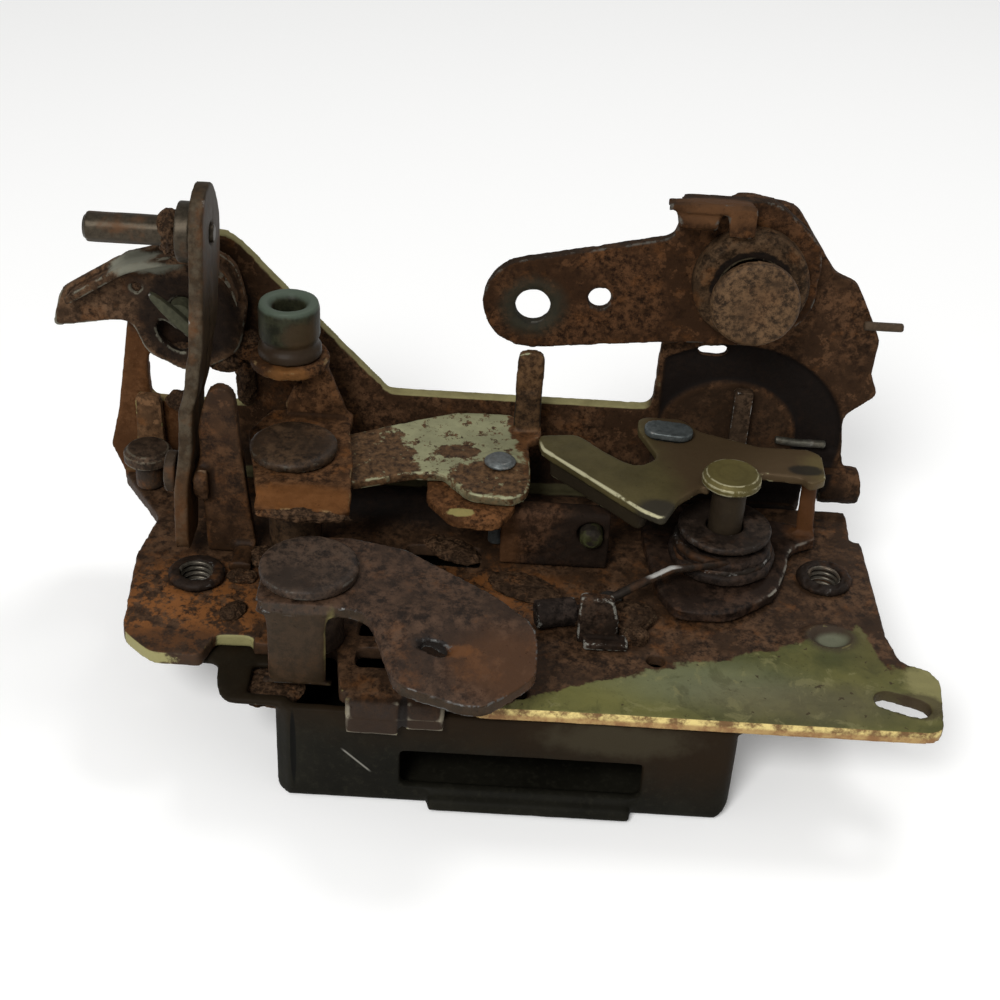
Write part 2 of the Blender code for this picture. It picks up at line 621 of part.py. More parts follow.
def fork_plate():
    outline = rounded([
        (11.6, 8.9, 0.8), (27.6, -8.0, 1.0), (31.0, -10.2, 1.0), (33.8, -3.8, 1.5), (37.6, 0.2, 0.5),
        (39.0, -0.6, 0.5), (39.2, 2.8, 1.0), (42.3, 4.6, 2.0), (46.0, 3.6, 1.5), (48.0, 5.2, 1.0),
        (54.4, 4.6, 0.5), (55.6, 2.4, 1.0), (58.4, 4.4, 1.5), (58.6, 12.0, 2.0), (56.6, 13.6, 1.0),
        (48.5, 13.6, 3.0), (38.6, 17.6, 3.0), (35.5, 21.6, 3.0), (28.0, 21.4, 2.0), (28.0, 17.0, 1.0),
        (31.0, 8.6, 2.0), (27.6, 4.2, 3.0), (22.0, 9.2, 4.0), (17.5, 14.4, 3.0), (10.9, 13.2, 1.2),
    ])
    made = plate("fork_plate", outline, 15.9, 17.5, ZINC, [stadium(*FORK_RIVET, 6.6, 3.4, FORK_RIVET_TURN)])
    edge_start = Vector((12.2, 9.0))
    edge = Vector((15.8, -16.6))
    heading = Matrix.Rotation(math.atan2(edge.y, edge.x), 4, "Z")
    placing = Matrix.Translation(edge_start.to_3d() * MM) @ heading
    flange = wall_xz("flange", rounded([
        (1.2, 12.9, 0.5), (edge.length - 1.0, 12.9, 0.5), (edge.length + 0.4, 16.6, 0.3), (0.4, 16.6, 0.3),
    ]), 0.1, 1.7, ZINC)
    flange.data.transform(placing)
    join(made, flange)


def fork_rivet():
    head = plate("fork_rivet", stadium(*FORK_RIVET, 8.4, 4.8, FORK_RIVET_TURN), 17.8, 19.0, RIVET_GREY)
    shank = plate("shank", stadium(*FORK_RIVET, 6.0, 2.8, FORK_RIVET_TURN), 15.5, 18.2, RIVET_GREY)
    join(head, shank)


def cam_lever():
    flat = plate("cam_lever", rounded([
        (31.4, -8.0, 2.0), (34.0, -14.4, 3.0), (43.0, -14.2, 6.0), (51.0, -7.6, 6.0), (53.6, 0.0, 3.0),
        (54.4, 5.4, 1.5), (59.4, 8.4, 0.5), (60.0, 12.2, 0.5), (50.0, 14.4, 4.0), (36.6, 17.6, 1.0),
        (30.0, 17.6, 1.0), (29.6, 6.0, 4.0),
    ]), 0.8, 2.8, RUST, [circle(*FORK_AXIS, 3.2)])
    web = wall_xz("web", rectangle(29.6, 36.6, 1.2, 15.2, 0.3), 15.0, 16.8, RUST)
    tab_outline = rounded([(55.6, 1.4, 0.2), (59.8, 1.4, 0.2), (59.0, 15.2, 0.5), (55.0, 15.2, 0.5)])
    tab = wall_xz("tab", tab_outline, 9.6, 11.4, RUST)
    join(flat, web, tab)


def key_lever():
    x, z = KEY_AXIS
    outline = rounded([
        (0.4, 45.8, 8.0), (0.2, 29.2, 8.0), (31.0, 32.6, 6.0), (45.0, 32.8, 9.0), (54.8, 38.0, 7.0),
        (55.0, 51.5, 7.0), (46.5, 58.5, 5.0), (31.2, 58.6, 0.8), (31.2, 51.6, 2.0), (8.0, 46.4, 6.0),
    ], 4)
    holes = [circle(8.7, 37.9, 3.05), circle(19.6, 39.9, 2.1, 16), circle(x, z, 3.3)]
    arm = wall_xz("key_lever", outline, 20.2, 22.2, RUST, holes)
    shelf = folded("shelf", [(21.0, 57.6), (14.6, 59.2)], 1.7, 31.2, 42.6, RUST)
    turn_down = wall_xz("turn_down", rectangle(38.4, 42.6, 54.6, 59.4, 0.4), 14.2, 15.8, RUST)
    roll = turned("roll", pin_profile([(1.6, -3.2, 3.2)]), (33.6, 16.2, 56.6), RUST, UPRIGHT_YZ, 12)
    nib = wall_yz("nib", rectangle(14.8, 17.2, 58.2, 59.8, 0.4), 28.6, 32.4, RUST)
    join(arm, shelf, turn_down, roll, nib)
    ring_profile = [(5.2, 4.2), (8.4, 4.2), (9.4, 3.2), (9.4, 0.0), (5.2, 0.0), (5.2, 4.2)]
    turned("key_collar", ring_profile, (x, 19.9, z), RUST, UPRIGHT_XZ, 28)


def remote_lever():
    low, high = REMOTE_X
    lean = 2.6
    outline = rounded([
        (-6.8, 2.9, 2.0), (1.8, 2.9, 2.0), (4.8, 14.0, 6.0), (8.6, 28.0, 8.0), (18.0, 44.0, 4.0),
        (20.0, 52.0, 6.5),
        (14.8, 60.8, 6.5), (5.4, 58.0, 6.5), (3.6, 47.0, 6.0), (-0.6, 34.0, 8.0), (-4.4, 20.0, 8.0),
    ], 4)
    holes = [circle(*REMOTE_AXIS, 2.2, 16), circle(12.0, 51.4, 1.8, 14)]
    made = wall_yz("remote_lever", outline, low, high, RUST_DARK, holes)
    joggle(made, 27.0, 36.0, lean)
    shoulder = low + lean - LEVER_PLAY
    profile = pin_profile([
        (1.9, -62.2, -61.7), (2.4, -61.7, shoulder - 2.4), (4.8, shoulder - 2.4, shoulder),
        (1.45, shoulder, high + lean + 0.5),
    ])
    turned("rod_pin", profile, (0, 12.0, 51.4), BARE_STEEL, UPRIGHT_YZ, 20)


def beak_lever():
    outline = rounded([
        (-72.2, 28.2, 0.8), (-58.6, 30.6, 2.5), (-56.8, 24.4, 4.0), (-49.0, 20.4, 5.0), (-40.6, 25.0, 5.0),
        (-38.8, 34.0, 5.0), (-40.6, 42.6, 5.0), (-49.0, 45.2, 6.0), (-58.6, 42.5, 4.0), (-70.2, 35.2, 2.0),
    ])
    window = rounded([(-54.8, 27.6, 1.0), (-50.6, 24.0, 1.5), (-47.8, 26.2, 1.0), (-54.2, 31.6, 0.8)])
    holes = [circle(-57.4, 36.4, 1.2, 12), window]
    made = wall_xz("beak_lever", outline, 21.6, 23.3, RUST, holes)
    brim_path = [(-69.0, 35.2), (-58.4, 41.8), (-49.0, 44.2), (-42.0, 41.9), (-40.0, 36.0)]
    outer = rounded([(x, z, 4.0 if 0 < i < 4 else 0.0) for i, (x, z) in enumerate(brim_path)])
    inner = [(x * 0.988 - 0.4, z - 1.5) for x, z in reversed(outer)]
    brim = wall_xz("brim", outer + inner, 18.6, 22.4, RUST)
    join(made, brim)
    centre = (BEAK_AXIS[0], 0, BEAK_AXIS[1])
    bore = turned("bore", pin_profile([(2.3, -30.0, -15.0)]), centre, RUST, UPRIGHT_XZ, 16)
    cut(made, bore)


def set_origins():
    """Gives each moving piece its origin on its joint's axis."""
    axes = {
        "claw": (*CLAW_AXIS, -13.5), "pawl": (*PAWL_AXIS, -13.5),
        "release_lever": (*RELEASE_AXIS, 11.5),
        "crank_lever": (*CRANK_AXIS, 17.3), "rod_bushing": (*CRANK_AXIS, 17.3),
        "link_lever": (*LINK_AXIS, 14.7), "link_lower_plate": (*LINK_AXIS, 14.7),
        "fork_plate": (*FORK_AXIS, 16.7), "fork_rivet": (*FORK_AXIS, 16.7), "cam_lever": (*FORK_AXIS, 16.7),
        "key_lever": (KEY_AXIS[0], 21.2, KEY_AXIS[1]), "key_collar": (KEY_AXIS[0], 21.2, KEY_AXIS[1]),
        "remote_lever": (REMOTE_X[0], *REMOTE_AXIS), "rod_pin": (REMOTE_X[0], *REMOTE_AXIS),
        "beak_lever": (BEAK_AXIS[0], 22.4, BEAK_AXIS[1]),
    }
    for name, place in axes.items():
        made = PARTS.objects[name]
        shift = Vector(place) * MM
        made.data.transform(Matrix.Translation(-shift))
        made.location = shift


def build():
    face_plate()
    thread_collar("thread_collar_right", THREAD_RIGHT)
    thread_collar("thread_collar_left", THREAD_LEFT)
    back_plate()
    housing()
    latch_pivots()
    lever_pivots()
    torsion_spring()
    spring_fittings()
    stop_block()
    remote_bracket()
    ear_fittings()
    back_plate_pivots()
    back_plate_trim()
    claw()
    pawl()
    latch_springs()
    release_lever()
    crank_lever()
    rod_bushing()
    link_lever()
    fork_plate()
    fork_rivet()
    cam_lever()
    key_lever()
    remote_lever()
    beak_lever()
    set_origins()
    frame = bpy.data.objects.new("latch_frame", None)
    PARTS.objects.link(frame)
    frame.location = Vector(FRAME_ORIGIN) * MM
    for made in PARTS.objects:
        if made.type == "MESH":
            made.parent = frame
            made.data.shade_smooth()
            made.data.set_sharp_from_angle(angle=math.radians(35))


build()
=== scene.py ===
"""Looks of a rusted rotary-claw vehicle door latch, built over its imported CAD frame.

Every piece starts as a copy of its CAD node, in millimetres in the latch's own frame: x along the face
plate, y towards the upright back plate, z up from the face plate's top face. The copy is remeshed finely,
its edges are worn round, faceted turning is made truly round, pressed details are pushed in and rust is
raised on it. Materials are patterns measured in the same millimetres.
"""

import itertools
import json
import math

import bmesh
import bpy
import numpy as np
from mathutils import Matrix, Vector


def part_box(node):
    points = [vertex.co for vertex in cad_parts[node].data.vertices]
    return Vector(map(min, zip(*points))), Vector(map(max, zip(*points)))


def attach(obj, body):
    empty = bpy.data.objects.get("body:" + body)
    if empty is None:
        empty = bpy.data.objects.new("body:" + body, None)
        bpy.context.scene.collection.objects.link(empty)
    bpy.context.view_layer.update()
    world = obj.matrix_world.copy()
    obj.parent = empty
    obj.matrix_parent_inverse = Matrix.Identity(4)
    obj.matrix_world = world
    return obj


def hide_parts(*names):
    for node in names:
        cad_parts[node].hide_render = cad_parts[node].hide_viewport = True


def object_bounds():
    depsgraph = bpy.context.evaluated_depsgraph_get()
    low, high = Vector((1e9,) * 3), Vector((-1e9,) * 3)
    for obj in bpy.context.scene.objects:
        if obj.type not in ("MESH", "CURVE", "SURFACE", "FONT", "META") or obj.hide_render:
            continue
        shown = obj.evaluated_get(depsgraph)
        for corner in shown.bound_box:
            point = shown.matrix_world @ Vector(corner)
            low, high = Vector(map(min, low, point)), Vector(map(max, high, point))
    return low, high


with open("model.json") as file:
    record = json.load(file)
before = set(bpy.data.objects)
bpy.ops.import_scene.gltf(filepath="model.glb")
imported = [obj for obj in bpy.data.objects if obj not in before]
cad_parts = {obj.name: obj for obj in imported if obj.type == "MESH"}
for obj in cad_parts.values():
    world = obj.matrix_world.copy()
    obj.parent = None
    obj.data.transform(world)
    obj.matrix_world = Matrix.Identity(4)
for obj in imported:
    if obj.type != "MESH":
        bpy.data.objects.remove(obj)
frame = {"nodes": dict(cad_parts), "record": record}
CAD_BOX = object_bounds()

MM = 0.001
RIGHT, UP, FRONT = (1, 0, 0), (0, 0, 1), (0, -1, 0)

# Places in latch millimetres that shapes and paint share. An axis is written with 0 along its own direction.
RIGHT_THREAD = (60, 0, 0)
LEFT_THREAD = (-43.4, -8.9, 0)
SPRING_AXIS = (42.3, 0.5, 0)
LINK_AXIS = (4.8, 6.2, 0)
BUSHING_AXIS = (-31, 15.6, 0)
KEY_AXIS = (43.5, 0, 45.3)
BEAK_AXIS = (-50, 0, 33)
KEY_EYE = (8.7, 21, 37.9)
DIMPLE = (59, -15.5, 0)
RIB_ENDS = ((-9, -3.8), (13, -14.8))
ARCH_CENTRE = (44, 0, 13)
THREAD_BORE = 2.7
COLLAR_TOP = 1.6


def box_centre(node):
    low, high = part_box(node)
    return (low + high) / 2


# The right thread's axis and the face plate's top face place the latch's own frame in the world.
LATCH_ORIGIN = Vector((
    box_centre("thread_collar_right").x - RIGHT_THREAD[0] * MM,
    box_centre("thread_collar_right").y - RIGHT_THREAD[1] * MM,
    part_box("face_plate")[1].z,
))
TO_LATCH = Matrix.Scale(1 / MM, 4) @ Matrix.Translation(-LATCH_ORIGIN)
TO_WORLD = TO_LATCH.inverted()

BODY_OF = {node: body for body, nodes in frame["record"]["behaviour"]["bodies"].items() for node in nodes}

LATCH = bpy.data.collections.new("door_latch")
STUDIO = bpy.data.collections.new("studio")
for group in (LATCH, STUDIO):
    bpy.context.scene.collection.children.link(group)


# Camera, floor and light

CAMERA_PLACE = (-0.003045, -0.20837, 0.17776)
CAMERA_TILT = 56.7
CAMERA_TURN = 3.35
CAMERA_LENS = 58.0
FLOOR_GAP = 0.0002
FLOOR_GLOW = 0.17
BACKDROP_STRENGTH = 0.40
LIGHT_AIM = (0.0, 0.0, 0.03)


def make_camera():
    data = bpy.data.cameras.new("camera")
    data.lens = CAMERA_LENS
    data.sensor_width = 36.0
    data.clip_start = 0.01
    camera = bpy.data.objects.new("camera", data)
    STUDIO.objects.link(camera)
    tilt = Matrix.Rotation(math.radians(CAMERA_TILT), 4, "X")
    turn = Matrix.Rotation(math.radians(CAMERA_TURN), 4, "Z")
    camera.matrix_world = Matrix.Translation(CAMERA_PLACE) @ tilt @ turn
    bpy.context.scene.camera = camera


def make_floor():
    mesh = bpy.data.meshes.new("floor")
    shape = bmesh.new()
    bmesh.ops.create_grid(shape, x_segments=2, y_segments=2, size=3.0)
    shape.to_mesh(mesh)
    shape.free()
    floor = bpy.data.objects.new("floor", mesh)
    STUDIO.objects.link(floor)
    floor.location.z = CAD_BOX[0].z - FLOOR_GAP
    finish = bpy.data.materials.new("pale_floor")
    finish.use_nodes = True
    shader = finish.node_tree.nodes["Principled BSDF"]
    shader.inputs["Base Color"].default_value = (0.94, 0.94, 0.93, 1.0)
    shader.inputs["Roughness"].default_value = 0.75
    shader.inputs["Emission Color"].default_value = (1.0, 1.0, 1.0, 1.0)
    shader.inputs["Emission Strength"].default_value = FLOOR_GLOW
    mesh.materials.append(finish)


def area_light(name, place, size, power):
    data = bpy.data.lights.new(name, "AREA")
    data.shape = "DISK"
    data.size = size
    data.energy = power
    light = bpy.data.objects.new(name, data)
    STUDIO.objects.link(light)
    light.location = place
    light.rotation_euler = (Vector(LIGHT_AIM) - Vector(place)).to_track_quat("-Z", "Y").to_euler()


def make_light():
    world = bpy.data.worlds.new("studio")
    world.use_nodes = True
    backdrop = world.node_tree.nodes["Background"]
    backdrop.inputs["Color"].default_value = (1.0, 1.0, 1.0, 1.0)
    backdrop.inputs["Strength"].default_value = BACKDROP_STRENGTH
    bpy.context.scene.world = world
    area_light("key", (-0.22, -0.60, 0.62), 0.28, 5.2)
    area_light("top", (0.25, 0.30, 0.70), 0.25, 1.2)
    bpy.context.scene.view_settings.view_transform = "Standard"


# Noise over points, the same on every run

HASH_PRIMES = (73856093, 19349663, 83492791, 2654435)


def cell_noise(points, size, seed):
    """Smooth noise from 0 to 1 that varies over a size in millimetres."""
    cell = points / size
    base = np.floor(cell).astype(np.int64)
    part = cell - base
    part = part * part * (3 - 2 * part)
    total = np.zeros(len(points))
    for corner in itertools.product((0, 1), repeat=3):
        mixed = seed * HASH_PRIMES[3]
        for axis, key in enumerate((base + corner).T):
            mixed = mixed ^ (key * HASH_PRIMES[axis])
        mixed = mixed & 0xFFFFFFFF
        mixed = ((mixed ^ (mixed >> 13)) * 1274126177) & 0xFFFFFFFF
        value = ((mixed ^ (mixed >> 16)) & 0xFFFF) / 65535
        share = np.where(np.array(corner) == 1, part, 1 - part).prod(axis=1)
        total += value * share
    return total


def fractal(points, size, octaves, seed):
    total = np.zeros(len(points))
    weight = 0.0
    for octave in range(octaves):
        gain = 0.55**octave
        total += gain * cell_noise(points, size / 2**octave, seed + 17 * octave)
        weight += gain
    return total / weight


def smoothstep(value, low, high):
    part = np.clip((value - low) / (high - low), 0, 1)
    return part * part * (3 - 2 * part)


# Mesh work


def read_points(mesh):
    points = np.empty(len(mesh.vertices) * 3)
    mesh.vertices.foreach_get("co", points)
    return points.reshape(-1, 3)


def write_points(mesh, points):
    mesh.vertices.foreach_set("co", points.astype(np.float32).ravel())
    mesh.update()


def read_normals(mesh):
    normals = np.empty(len(mesh.vertices) * 3)
    mesh.vertices.foreach_get("normal", normals)
    return normals.reshape(-1, 3)


def read_edges(mesh):
    edges = np.empty(len(mesh.edges) * 2, dtype=np.int32)
    mesh.edges.foreach_get("vertices", edges)
    return edges.reshape(-1, 2)


def neighbour_mean(values, edges):
    """Each point's mean over the points that it shares an edge with."""
    count = len(values)
    first, second = edges[:, 0], edges[:, 1]
    degree = np.bincount(first, minlength=count) + np.bincount(second, minlength=count)
    columns = []
    for column in np.atleast_2d(values.T):
        total = np.bincount(first, column[second], count) + np.bincount(second, column[first], count)
        columns.append(total / np.maximum(degree, 1))
    return np.array(columns).T.reshape(values.shape)


def with_modifiers(piece):
    bpy.context.view_layer.update()
    evaluated = piece.evaluated_get(bpy.context.evaluated_depsgraph_get())
    mesh = bpy.data.meshes.new_from_object(evaluated)
    piece.modifiers.clear()
    piece.data = mesh
    return mesh


def fine_copy(node, voxel, relax):
    """A copy of a CAD node with an even fine mesh in latch millimetres and softened edges."""
    mesh = frame["nodes"][node].data.copy()
    mesh.transform(TO_LATCH)
    welded = bmesh.new()
    welded.from_mesh(mesh)
    bmesh.ops.remove_doubles(welded, verts=welded.verts, dist=0.002)
    welded.to_mesh(mesh)
    welded.free()
    piece = bpy.data.objects.new(node + "_worn", mesh)
    LATCH.objects.link(piece)
    remesh = piece.modifiers.new("remesh", "REMESH")
    remesh.mode = "VOXEL"
    remesh.voxel_size = voxel
    soften = piece.modifiers.new("soften", "SMOOTH")
    soften.factor = 0.5
    soften.iterations = relax
    with_modifiers(piece)
    return piece


def make_round(points, centre, axis, sides):
    """Moves the flats of a polygon turned about an axis out to its true circle."""
    offset = points - np.array(centre)
    across, up = np.delete(np.eye(3), axis, axis=0)
    x, y = offset @ across, offset @ up
    step = 2 * math.pi / sides
    inside = np.mod(np.arctan2(y, x), step) - step / 2
    grow = np.cos(inside) / math.cos(step / 2) - 1
    return points + np.outer(x * grow, across) + np.outer(y * grow, up)


def fair_outline(mesh, axis, rounds):
    """Eases the corners of a sheet's outline: side points slide along the sheet, and keep their height."""
    points, normals, edges = read_points(mesh), read_normals(mesh), read_edges(mesh)
    side = np.abs(normals[:, axis]) < 0.5
    edges = edges[side[edges[:, 0]] & side[edges[:, 1]]]
    held = points[:, axis].copy()
    for _ in range(rounds):
        moved = neighbour_mean(points, edges)
        moved[:, axis] = held
        linked = np.bincount(edges.ravel(), minlength=len(points)) > 1
        points = np.where((side & linked)[:, None], 0.5 * points + 0.5 * moved, points)
    write_points(mesh, points)


def mark_wear(mesh):
    """Stores how sharply the surface turns at each point, in 1/mm: above 0 on edges, below 0 in corners."""
    points, normals, edges = read_points(mesh), read_normals(mesh), read_edges(mesh)
    length = np.linalg.norm(points[edges[:, 0]] - points[edges[:, 1]], axis=1).mean()
    bend = -((neighbour_mean(points, edges) - points) * normals).sum(axis=1) * 4 / length**2
    for _ in range(2):
        bend = 0.5 * bend + 0.5 * neighbour_mean(bend, edges)
    wear = mesh.attributes.new("wear", "FLOAT", "POINT")
    wear.data.foreach_set("value", np.clip(bend, -2, 2).astype(np.float32))


def raise_rust(mesh, depth, size, pit, seed, relief=None):
    """Lifts and pits the surface along its normals by parts of a millimetre."""
    points, normals = read_points(mesh), read_normals(mesh)
    lift = (fractal(points, size, 3, seed) - 0.5) * 2 * depth
    lift -= pit * smoothstep(cell_noise(points, size * 1.7, seed + 5), 0.70, 0.86)
    if relief is not None:
        lift += relief(points)
    write_points(mesh, points + normals * lift[:, None])


# Turned pieces: a point on the axis, which axis it is (0 for x, 1 for y, 2 for z), and the CAD's sides

TURNED = {
    "thread_collar_right": (RIGHT_THREAD, 2, 24),
    "thread_collar_left": (LEFT_THREAD, 2, 24),
    "release_pivot": ((-23, -23, 0), 2, 24),
    "crank_pivot": ((-28.7, 2, 0), 2, 24),
    "link_pivot": (LINK_AXIS, 2, 20),
    "spring_pin": (SPRING_AXIS, 2, 24),
    "spring_washer": (SPRING_AXIS, 2, 24),
    "ear_stud": ((-56.6, 17.6, 0), 2, 20),
    "rod_bushing": (BUSHING_AXIS, 2, 20),
    "key_pivot": (KEY_AXIS, 1, 28),
    "key_collar": (KEY_AXIS, 1, 28),
    "beak_pivot": (BEAK_AXIS, 1, 16),
    "stop_pin": ((20.5, 0, 7.2), 1, 16),
    "remote_pivot": ((0, 1, 14), 0, 16),
    "rod_pin": ((0, 12, 51.4), 0, 20),
}


# Pressed shapes, in latch millimetres


def segment_distance(points, start, end):
    """Distance in the plate's plane from a line between two (x, y) points."""
    start, end = np.array(start, float), np.array(end, float)
    along = end - start
    share = np.clip(((points[:, :2] - start) @ along) / (along @ along), 0, 1)
    return np.linalg.norm(points[:, :2] - start - share[:, None] * along, axis=1)


def press_face_plate(points):
    """The dimple by the right thread, the raised rib in front of the stop block and the hammered front."""
    moved = points.copy()
    dimple = np.hypot((points[:, 0] - DIMPLE[0]) / 3.9, (points[:, 1] - DIMPLE[1]) / 3.1)
    moved[:, 2] += 0.5 * np.exp(-((dimple - 0.95) / 0.22) ** 2) - 0.55 * (1 - smoothstep(dimple, 0.35, 0.85))
    rib = segment_distance(points, *RIB_ENDS)
    moved[:, 2] += 0.95 * (1 - smoothstep(rib, 1, 2.6))
    moved[:, 2] += 0.35 * (fractal(points * (1, 1, 0), 16, 2, 31) - 0.5)
    return moved


def press_housing(points):
    """Rounds the pressed housing's lower edges, more at its right end."""
    moved = points.copy()
    for axis, side, edge, radius in ((0, 1, 43.4, 4.2), (0, -1, -27, 1.6), (1, -1, -36.5, 1.1)):
        centre_side = side * edge - radius
        centre_low = -20.7 + radius
        out = moved[:, axis] * side - centre_side
        down = centre_low - moved[:, 2]
        reach = np.hypot(out, down)
        corner = (out > 0) & (down > 0) & (reach > radius)
        pull = np.where(corner, radius / np.maximum(reach, 1e-6), 1)
        lip = (axis == 1) & (points[:, 0] > -3.6) & (points[:, 0] < 28.2)
        pull = np.where(lip, 1, pull)
        moved[:, axis] = np.where(pull < 1, side * (centre_side + out * pull), moved[:, axis])
        moved[:, 2] = np.where(pull < 1, centre_low - down * pull, moved[:, 2])
    return moved


def press_release_lever(points):
    """A shallow crown over the arm and a dent in the bent tab."""
    moved = points.copy()
    tab = (points[:, 2] < 9.5) & (points[:, 1] < -29)
    dent = np.hypot(points[:, 0] + 24.6, points[:, 2] - 7.4)
    moved[:, 1] += np.where(tab, 0.3 * (1 - smoothstep(dent, 0.2, 1.1)), 0)
    arm = np.hypot(points[:, 0] + 1, points[:, 1] + 34)
    moved[:, 2] += np.where(tab, 0, 0.25 * (1 - smoothstep(arm, 2, 12)))
    return moved


def press_link_lever(points):
    """A stepped flat round the rivet, as a pressed boss."""
    moved = points.copy()
    boss = np.hypot(points[:, 0] - LINK_AXIS[0], points[:, 1] - LINK_AXIS[1])
    flat = points[:, 2] < 16.5
    moved[:, 2] += np.where(flat, 0.22 * (1 - smoothstep(boss, 3.6, 4.6)), 0)
    return moved


def press_remote_lever(points):
    """The long lever's hollow side rib, and the start of its set lower down than one sharp bend gives."""
    moved = points.copy()
    middle = 2 + (points[:, 2] - 14) * 0.262
    rib = 1 - smoothstep(np.abs(points[:, 1] - middle), 0.5, 2)
    start, end = smoothstep(points[:, 2], 8, 16), smoothstep(points[:, 2], 40, 46)
    moved[:, 0] += 0.35 * rib * start * (1 - end)
    bow = smoothstep(points[:, 2], 12, 22) * (1 - smoothstep(points[:, 2], 29, 36))
    moved[:, 0] += bow
    return moved


def press_key_lever(points):
    """A ring pressed round the rod eye."""
    moved = points.copy()
    ring = np.hypot(points[:, 0] - KEY_EYE[0], points[:, 2] - KEY_EYE[2])
    front = points[:, 1] > 19.5
    moved[:, 1] -= np.where(front, 0.22 * np.exp(-((ring - 4.3) / 0.6) ** 2), 0)
    return moved


def press_back_plate(points):
    """A smooth sunk arch behind the key lever, as if something had swept over the sheet."""
    moved = points.copy()
    x, z = points[:, 0], points[:, 2]
    reach = np.hypot((x - ARCH_CENTRE[0]) / 1.15, z - ARCH_CENTRE[2])
    arch = smoothstep(reach, 10.2, 11) * (1 - smoothstep(reach, 17.2, 18)) * (z > 11) * (x > 32)
    moved[:, 1] += 0.6 * arch * (points[:, 1] < 26)
    return moved


def press_bushing(points):
    """The bushing's barrel, swollen to the width that it has outside the lever's eye."""
    moved = points.copy()
    swell = 1 + 0.20 * smoothstep(points[:, 2], 31, 33)
    for axis, centre in enumerate(BUSHING_AXIS[:2]):
        moved[:, axis] = centre + (points[:, axis] - centre) * swell
    return moved


def press_beak_pivot(points):
    """The beak's rivet head, flattened into a slanting bar."""
    moved = points.copy()
    x, z = points[:, 0] - BEAK_AXIS[0], points[:, 2] - BEAK_AXIS[2]
    head = smoothstep(-points[:, 1], -19, -18.6)
    slant = 0.7071
    along = (x - z) * slant * (1 + 0.55 * head)
    across = (x + z) * slant * (1 - 0.74 * head)
    moved[:, 0] = BEAK_AXIS[0] + (along + across) * slant
    moved[:, 2] = BEAK_AXIS[2] + (across - along) * slant
    return moved


PRESSED = {
    "back_plate": press_back_plate,
    "rod_bushing": press_bushing,
    "beak_pivot": press_beak_pivot,
    "face_plate": press_face_plate,
    "housing": press_housing,
    "release_lever": press_release_lever,
    "link_lever": press_link_lever,
    "remote_lever": press_remote_lever,
    "key_lever": press_key_lever,
}


# Crusts: extra relief in chosen places, in millimetres


def crust_at(points, centre, radii, height, seed):
    reach = np.linalg.norm((points - np.array(centre)) / np.array(radii), axis=1)
    lumps = smoothstep(fractal(points, 1.3, 3, seed), 0.42, 0.72)
    return height * lumps * (1 - smoothstep(reach, 0.5, 1))


def crank_crust(points):
    return crust_at(points, (-26, -12, 16.4), (9, 3, 2), 0.35, 41)


def plate_crust(points):
    rib = 1 - smoothstep(segment_distance(points, *RIB_ENDS), 1.5, 6)
    lobe = crust_at(points, (-45, -14, 0), (12, 14, 3), 0.12, 43)
    return 0.3 * rib * smoothstep(fractal(points, 1.6, 3, 42), 0.45, 0.7) + lobe


def block_crust(points):
    return crust_at(points, (14.5, -0.5, 5), (12, 3, 6), 0.22, 44)


def link_crust(points):
    lost = smoothstep(fractal(points, 5, 3, 46), 0.52, 0.60)
    return -0.12 * lost * smoothstep(points[:, 2], 14.6, 15.4)


CRUSTS = {
    "crank_lever": crank_crust,
    "face_plate": plate_crust,
    "stop_block": block_crust,
    "link_lever": link_crust,
}


# Materials


class Value:
    """A number, colour or place that a material's nodes work out. Its operators add more nodes."""

    def __init__(self, look, socket):
        self.look = look
        self.socket = socket

    def __add__(self, other):
        return self.look.math("ADD", self, other)

    def __sub__(self, other):
        return self.look.math("SUBTRACT", self, other)

    def __rsub__(self, other):
        return self.look.math("SUBTRACT", other, self)

    def __mul__(self, other):
        return self.look.math("MULTIPLY", self, other)


